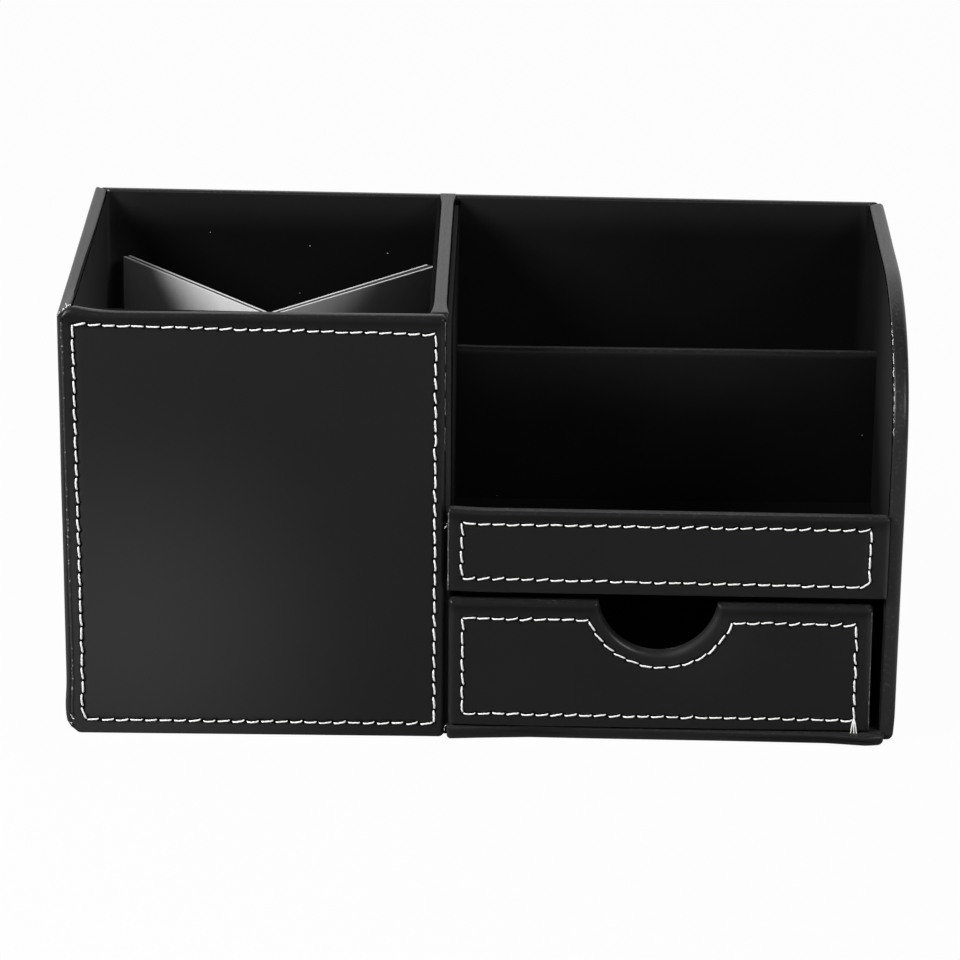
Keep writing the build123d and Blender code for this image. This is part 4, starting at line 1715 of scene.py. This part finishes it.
# %% Dark seams
SEAM_RADIUS = 0.18
SEAM_SHAKE = 0.05
SEAM_ENDS = (0.5, 128.0)
SEAM_POINTS = 60
SEAM_PROUD = 0.05
LETTER_SEAM_DROP = 0.6
SWEPT_INSET = 0.75
SWEPT_PROUD = 0.02
SWEPT_POINTS = 70
SWEPT_FOOT = (72.0, 82.0)
SWEPT_REAR = (30.0, 65.0)


def wall_seam(x, z):
    """A seam along the inside of a wall, just under its top."""
    along = np.linspace(INNER_FRONT + SEAM_ENDS[0], INNER_FRONT + SEAM_ENDS[1], SEAM_POINTS)
    return np.column_stack([np.full(len(along), x), along, np.full(len(along), z)])


def swept_seam():
    """The seam of the right wall, which follows the oval front corner."""
    oval = sweep_oval(np.linspace(0, 90, SWEPT_POINTS), SWEPT_INSET)
    foot = [(oval[0, 0], z) for z in SWEPT_FOOT]
    rear = [(y, oval[-1, 1]) for y in SWEPT_REAR]
    line = np.concatenate([foot, oval, rear])
    return np.column_stack([np.full(len(line), right_inside + SWEPT_PROUD), line])


seams = [wall_seam(left_high[0] + SEAM_PROUD, LINING_TOP),
         wall_seam(partition_low[0] - SEAM_PROUD, LINING_TOP),
         wall_seam(partition_high[0] + SEAM_PROUD, LINING_TOP - LETTER_SEAM_DROP), swept_seam()]
seams = [line + dice.normal(0, SEAM_SHAKE, line.shape) for line in seams]
# The seam strands take the painted shade in full, a dead matt black.
lining_seams = strand_piece("lining_seams", [strand(line, SEAM_RADIUS) for line in seams], "carcass",
                            "black_leather", crease=1.0)
print("lining seams", len(lining_seams.data.polygons), "faces")

# %% Rounded corners
COVE = 3.0
COVE_STEPS = 8
COVE_SUNK = 0.1
PEN_FLOOR = 5.0
SHELF_TOP = 50.0


def cove(name, x, side, floor):
    """A concave round between the back and a wall; side is 1 where the wall is on the left."""
    angle = np.linspace(0, math.pi / 2, COVE_STEPS + 1)
    rear = back_low[1]
    arc = np.column_stack([x + side * COVE * (1 - np.sin(angle)), rear - COVE * (1 - np.cos(angle))])
    sunk_x, sunk_y = x - side * COVE_SUNK, rear + COVE_SUNK
    ring = np.concatenate([arc, [(sunk_x, rear - COVE), (sunk_x, sunk_y), (x + side * COVE, sunk_y)]])
    points = np.concatenate([np.column_stack([ring, np.full(len(ring), z)]) for z in (floor, LINING_TOP)])
    faces = ring_faces(2, len(ring))
    return add_piece(name, points, faces, "carcass", "black_lining", [], smooth=False)


corners = [cove("pen_left_cove", left_high[0], 1, PEN_FLOOR),
           cove("letter_right_cove", right_inside, -1, SHELF_TOP)]
print("rounded corners", len(corners))

# %% [markdown]
# ## Ridges with a painted highlight
#
# Some folds of the leather are pressed up into a thin ridge with a pale highlight painted on it: the
# left edge of the tall front down to its round corner, the upper half of its right edge, and the short
# edges of the ledge and the drawer front. A paler finish alone would stay flat there, so they are thin
# tubes half sunk in the fold.

# %% Ridges with a painted highlight
RIM_RADIUS = 0.28
BROAD_RIM = 0.42
NARROW_RIM = 0.12
RIM_INWARD = 0.75
RIM_BAND = 1.5
RIM_MIDDLE = 67.5
RIM_HALF_HEIGHT = 63.0
RIM_STEP = 1.5
RIGHT_STRETCHES = [(130.6, 124.5), (123.0, 117.5), (115.0, 109.0), (107.0, 101.5), (98.0, 91.0)]
RIGHT_INSET = 0.3
LEDGE_INSETS = (0.25, 0.6, 1.0)
DRAWER_INSETS = (0.4, 1.2, 1.6)
STRETCH_POINTS = 8
LEDGE_POINTS = 16
DRAWER_POINTS = 24
# How strong the pale highlight painted on the ridges is; the half one is for the tall front's left edge.
PAINTED_HIGHLIGHT = 4.0
HALF_PAINTED_HIGHLIGHT = 2.3
RIM_SINK = 0.12
RIM_SHAKE = 0.03


def ridge(line, place, radius):
    """A ridge along points across and up, half sunk in the face."""
    line = np.asarray(line, float)
    shaken = line + dice.normal(0, RIM_SHAKE, line.shape)
    return strand(place(np.column_stack([shaken, np.full(len(line), RIM_SINK)])), radius)


def upright(across, low, high, count):
    """Points up a straight edge."""
    return np.column_stack([np.full(count, across), np.linspace(low, high, count)])


def left_edge_of_pen_front():
    """The left edge of the tall front from its top down to its round corner."""
    outline = panel_outline(pen_low[[0, 2]], pen_high[[0, 2]], PEN_CORNERS, grain=RIM_STEP)(0.0)
    across, up = outline.T
    edge = outline[(across < pen_low[0] + RIM_BAND) & (np.abs(up - RIM_MIDDLE) < RIM_HALF_HEIGHT)]
    edge = edge[np.lexsort((edge[:, 0], -edge[:, 1]))]
    edge = slant_rim(np.column_stack([edge, np.zeros(len(edge))]))[:, :2]
    return edge + (RIM_INWARD, 0)


ledge_side = upright(ledge_low[0] + LEDGE_INSETS[0], ledge_low[2] + LEDGE_INSETS[1],
                     ledge_high[2] - LEDGE_INSETS[2], LEDGE_POINTS)
drawer_side = upright(drawer_high[0] - DRAWER_INSETS[0], drawer_low[2] + DRAWER_INSETS[1],
                      drawer_high[2] - DRAWER_INSETS[2], DRAWER_POINTS)
right_sides = [upright(pen_high[0] - RIGHT_INSET, *stretch, STRETCH_POINTS) for stretch in RIGHT_STRETCHES]
rims = {
    "pen_front_rim": ("carcass", HALF_PAINTED_HIGHLIGHT, [ridge(left_edge_of_pen_front(), pen_place, BROAD_RIM)]),
    "pen_front_right_rim": ("carcass", PAINTED_HIGHLIGHT,
                            [ridge(side, pen_place, NARROW_RIM) for side in right_sides]),
    "ledge_rim": ("carcass", PAINTED_HIGHLIGHT, [ridge(ledge_side, ledge_place, RIM_RADIUS)]),
    "drawer_front_rim": ("drawer", PAINTED_HIGHLIGHT, [ridge(drawer_side, drawer_place, NARROW_RIM)]),
}
# The finish paints each ridge with a pale highlight, by the value of its mark.
for name, (body, paleness, ridges) in rims.items():
    strand_piece(name, ridges, body, "black_leather", worn=paleness)
print("rims", list(rims))
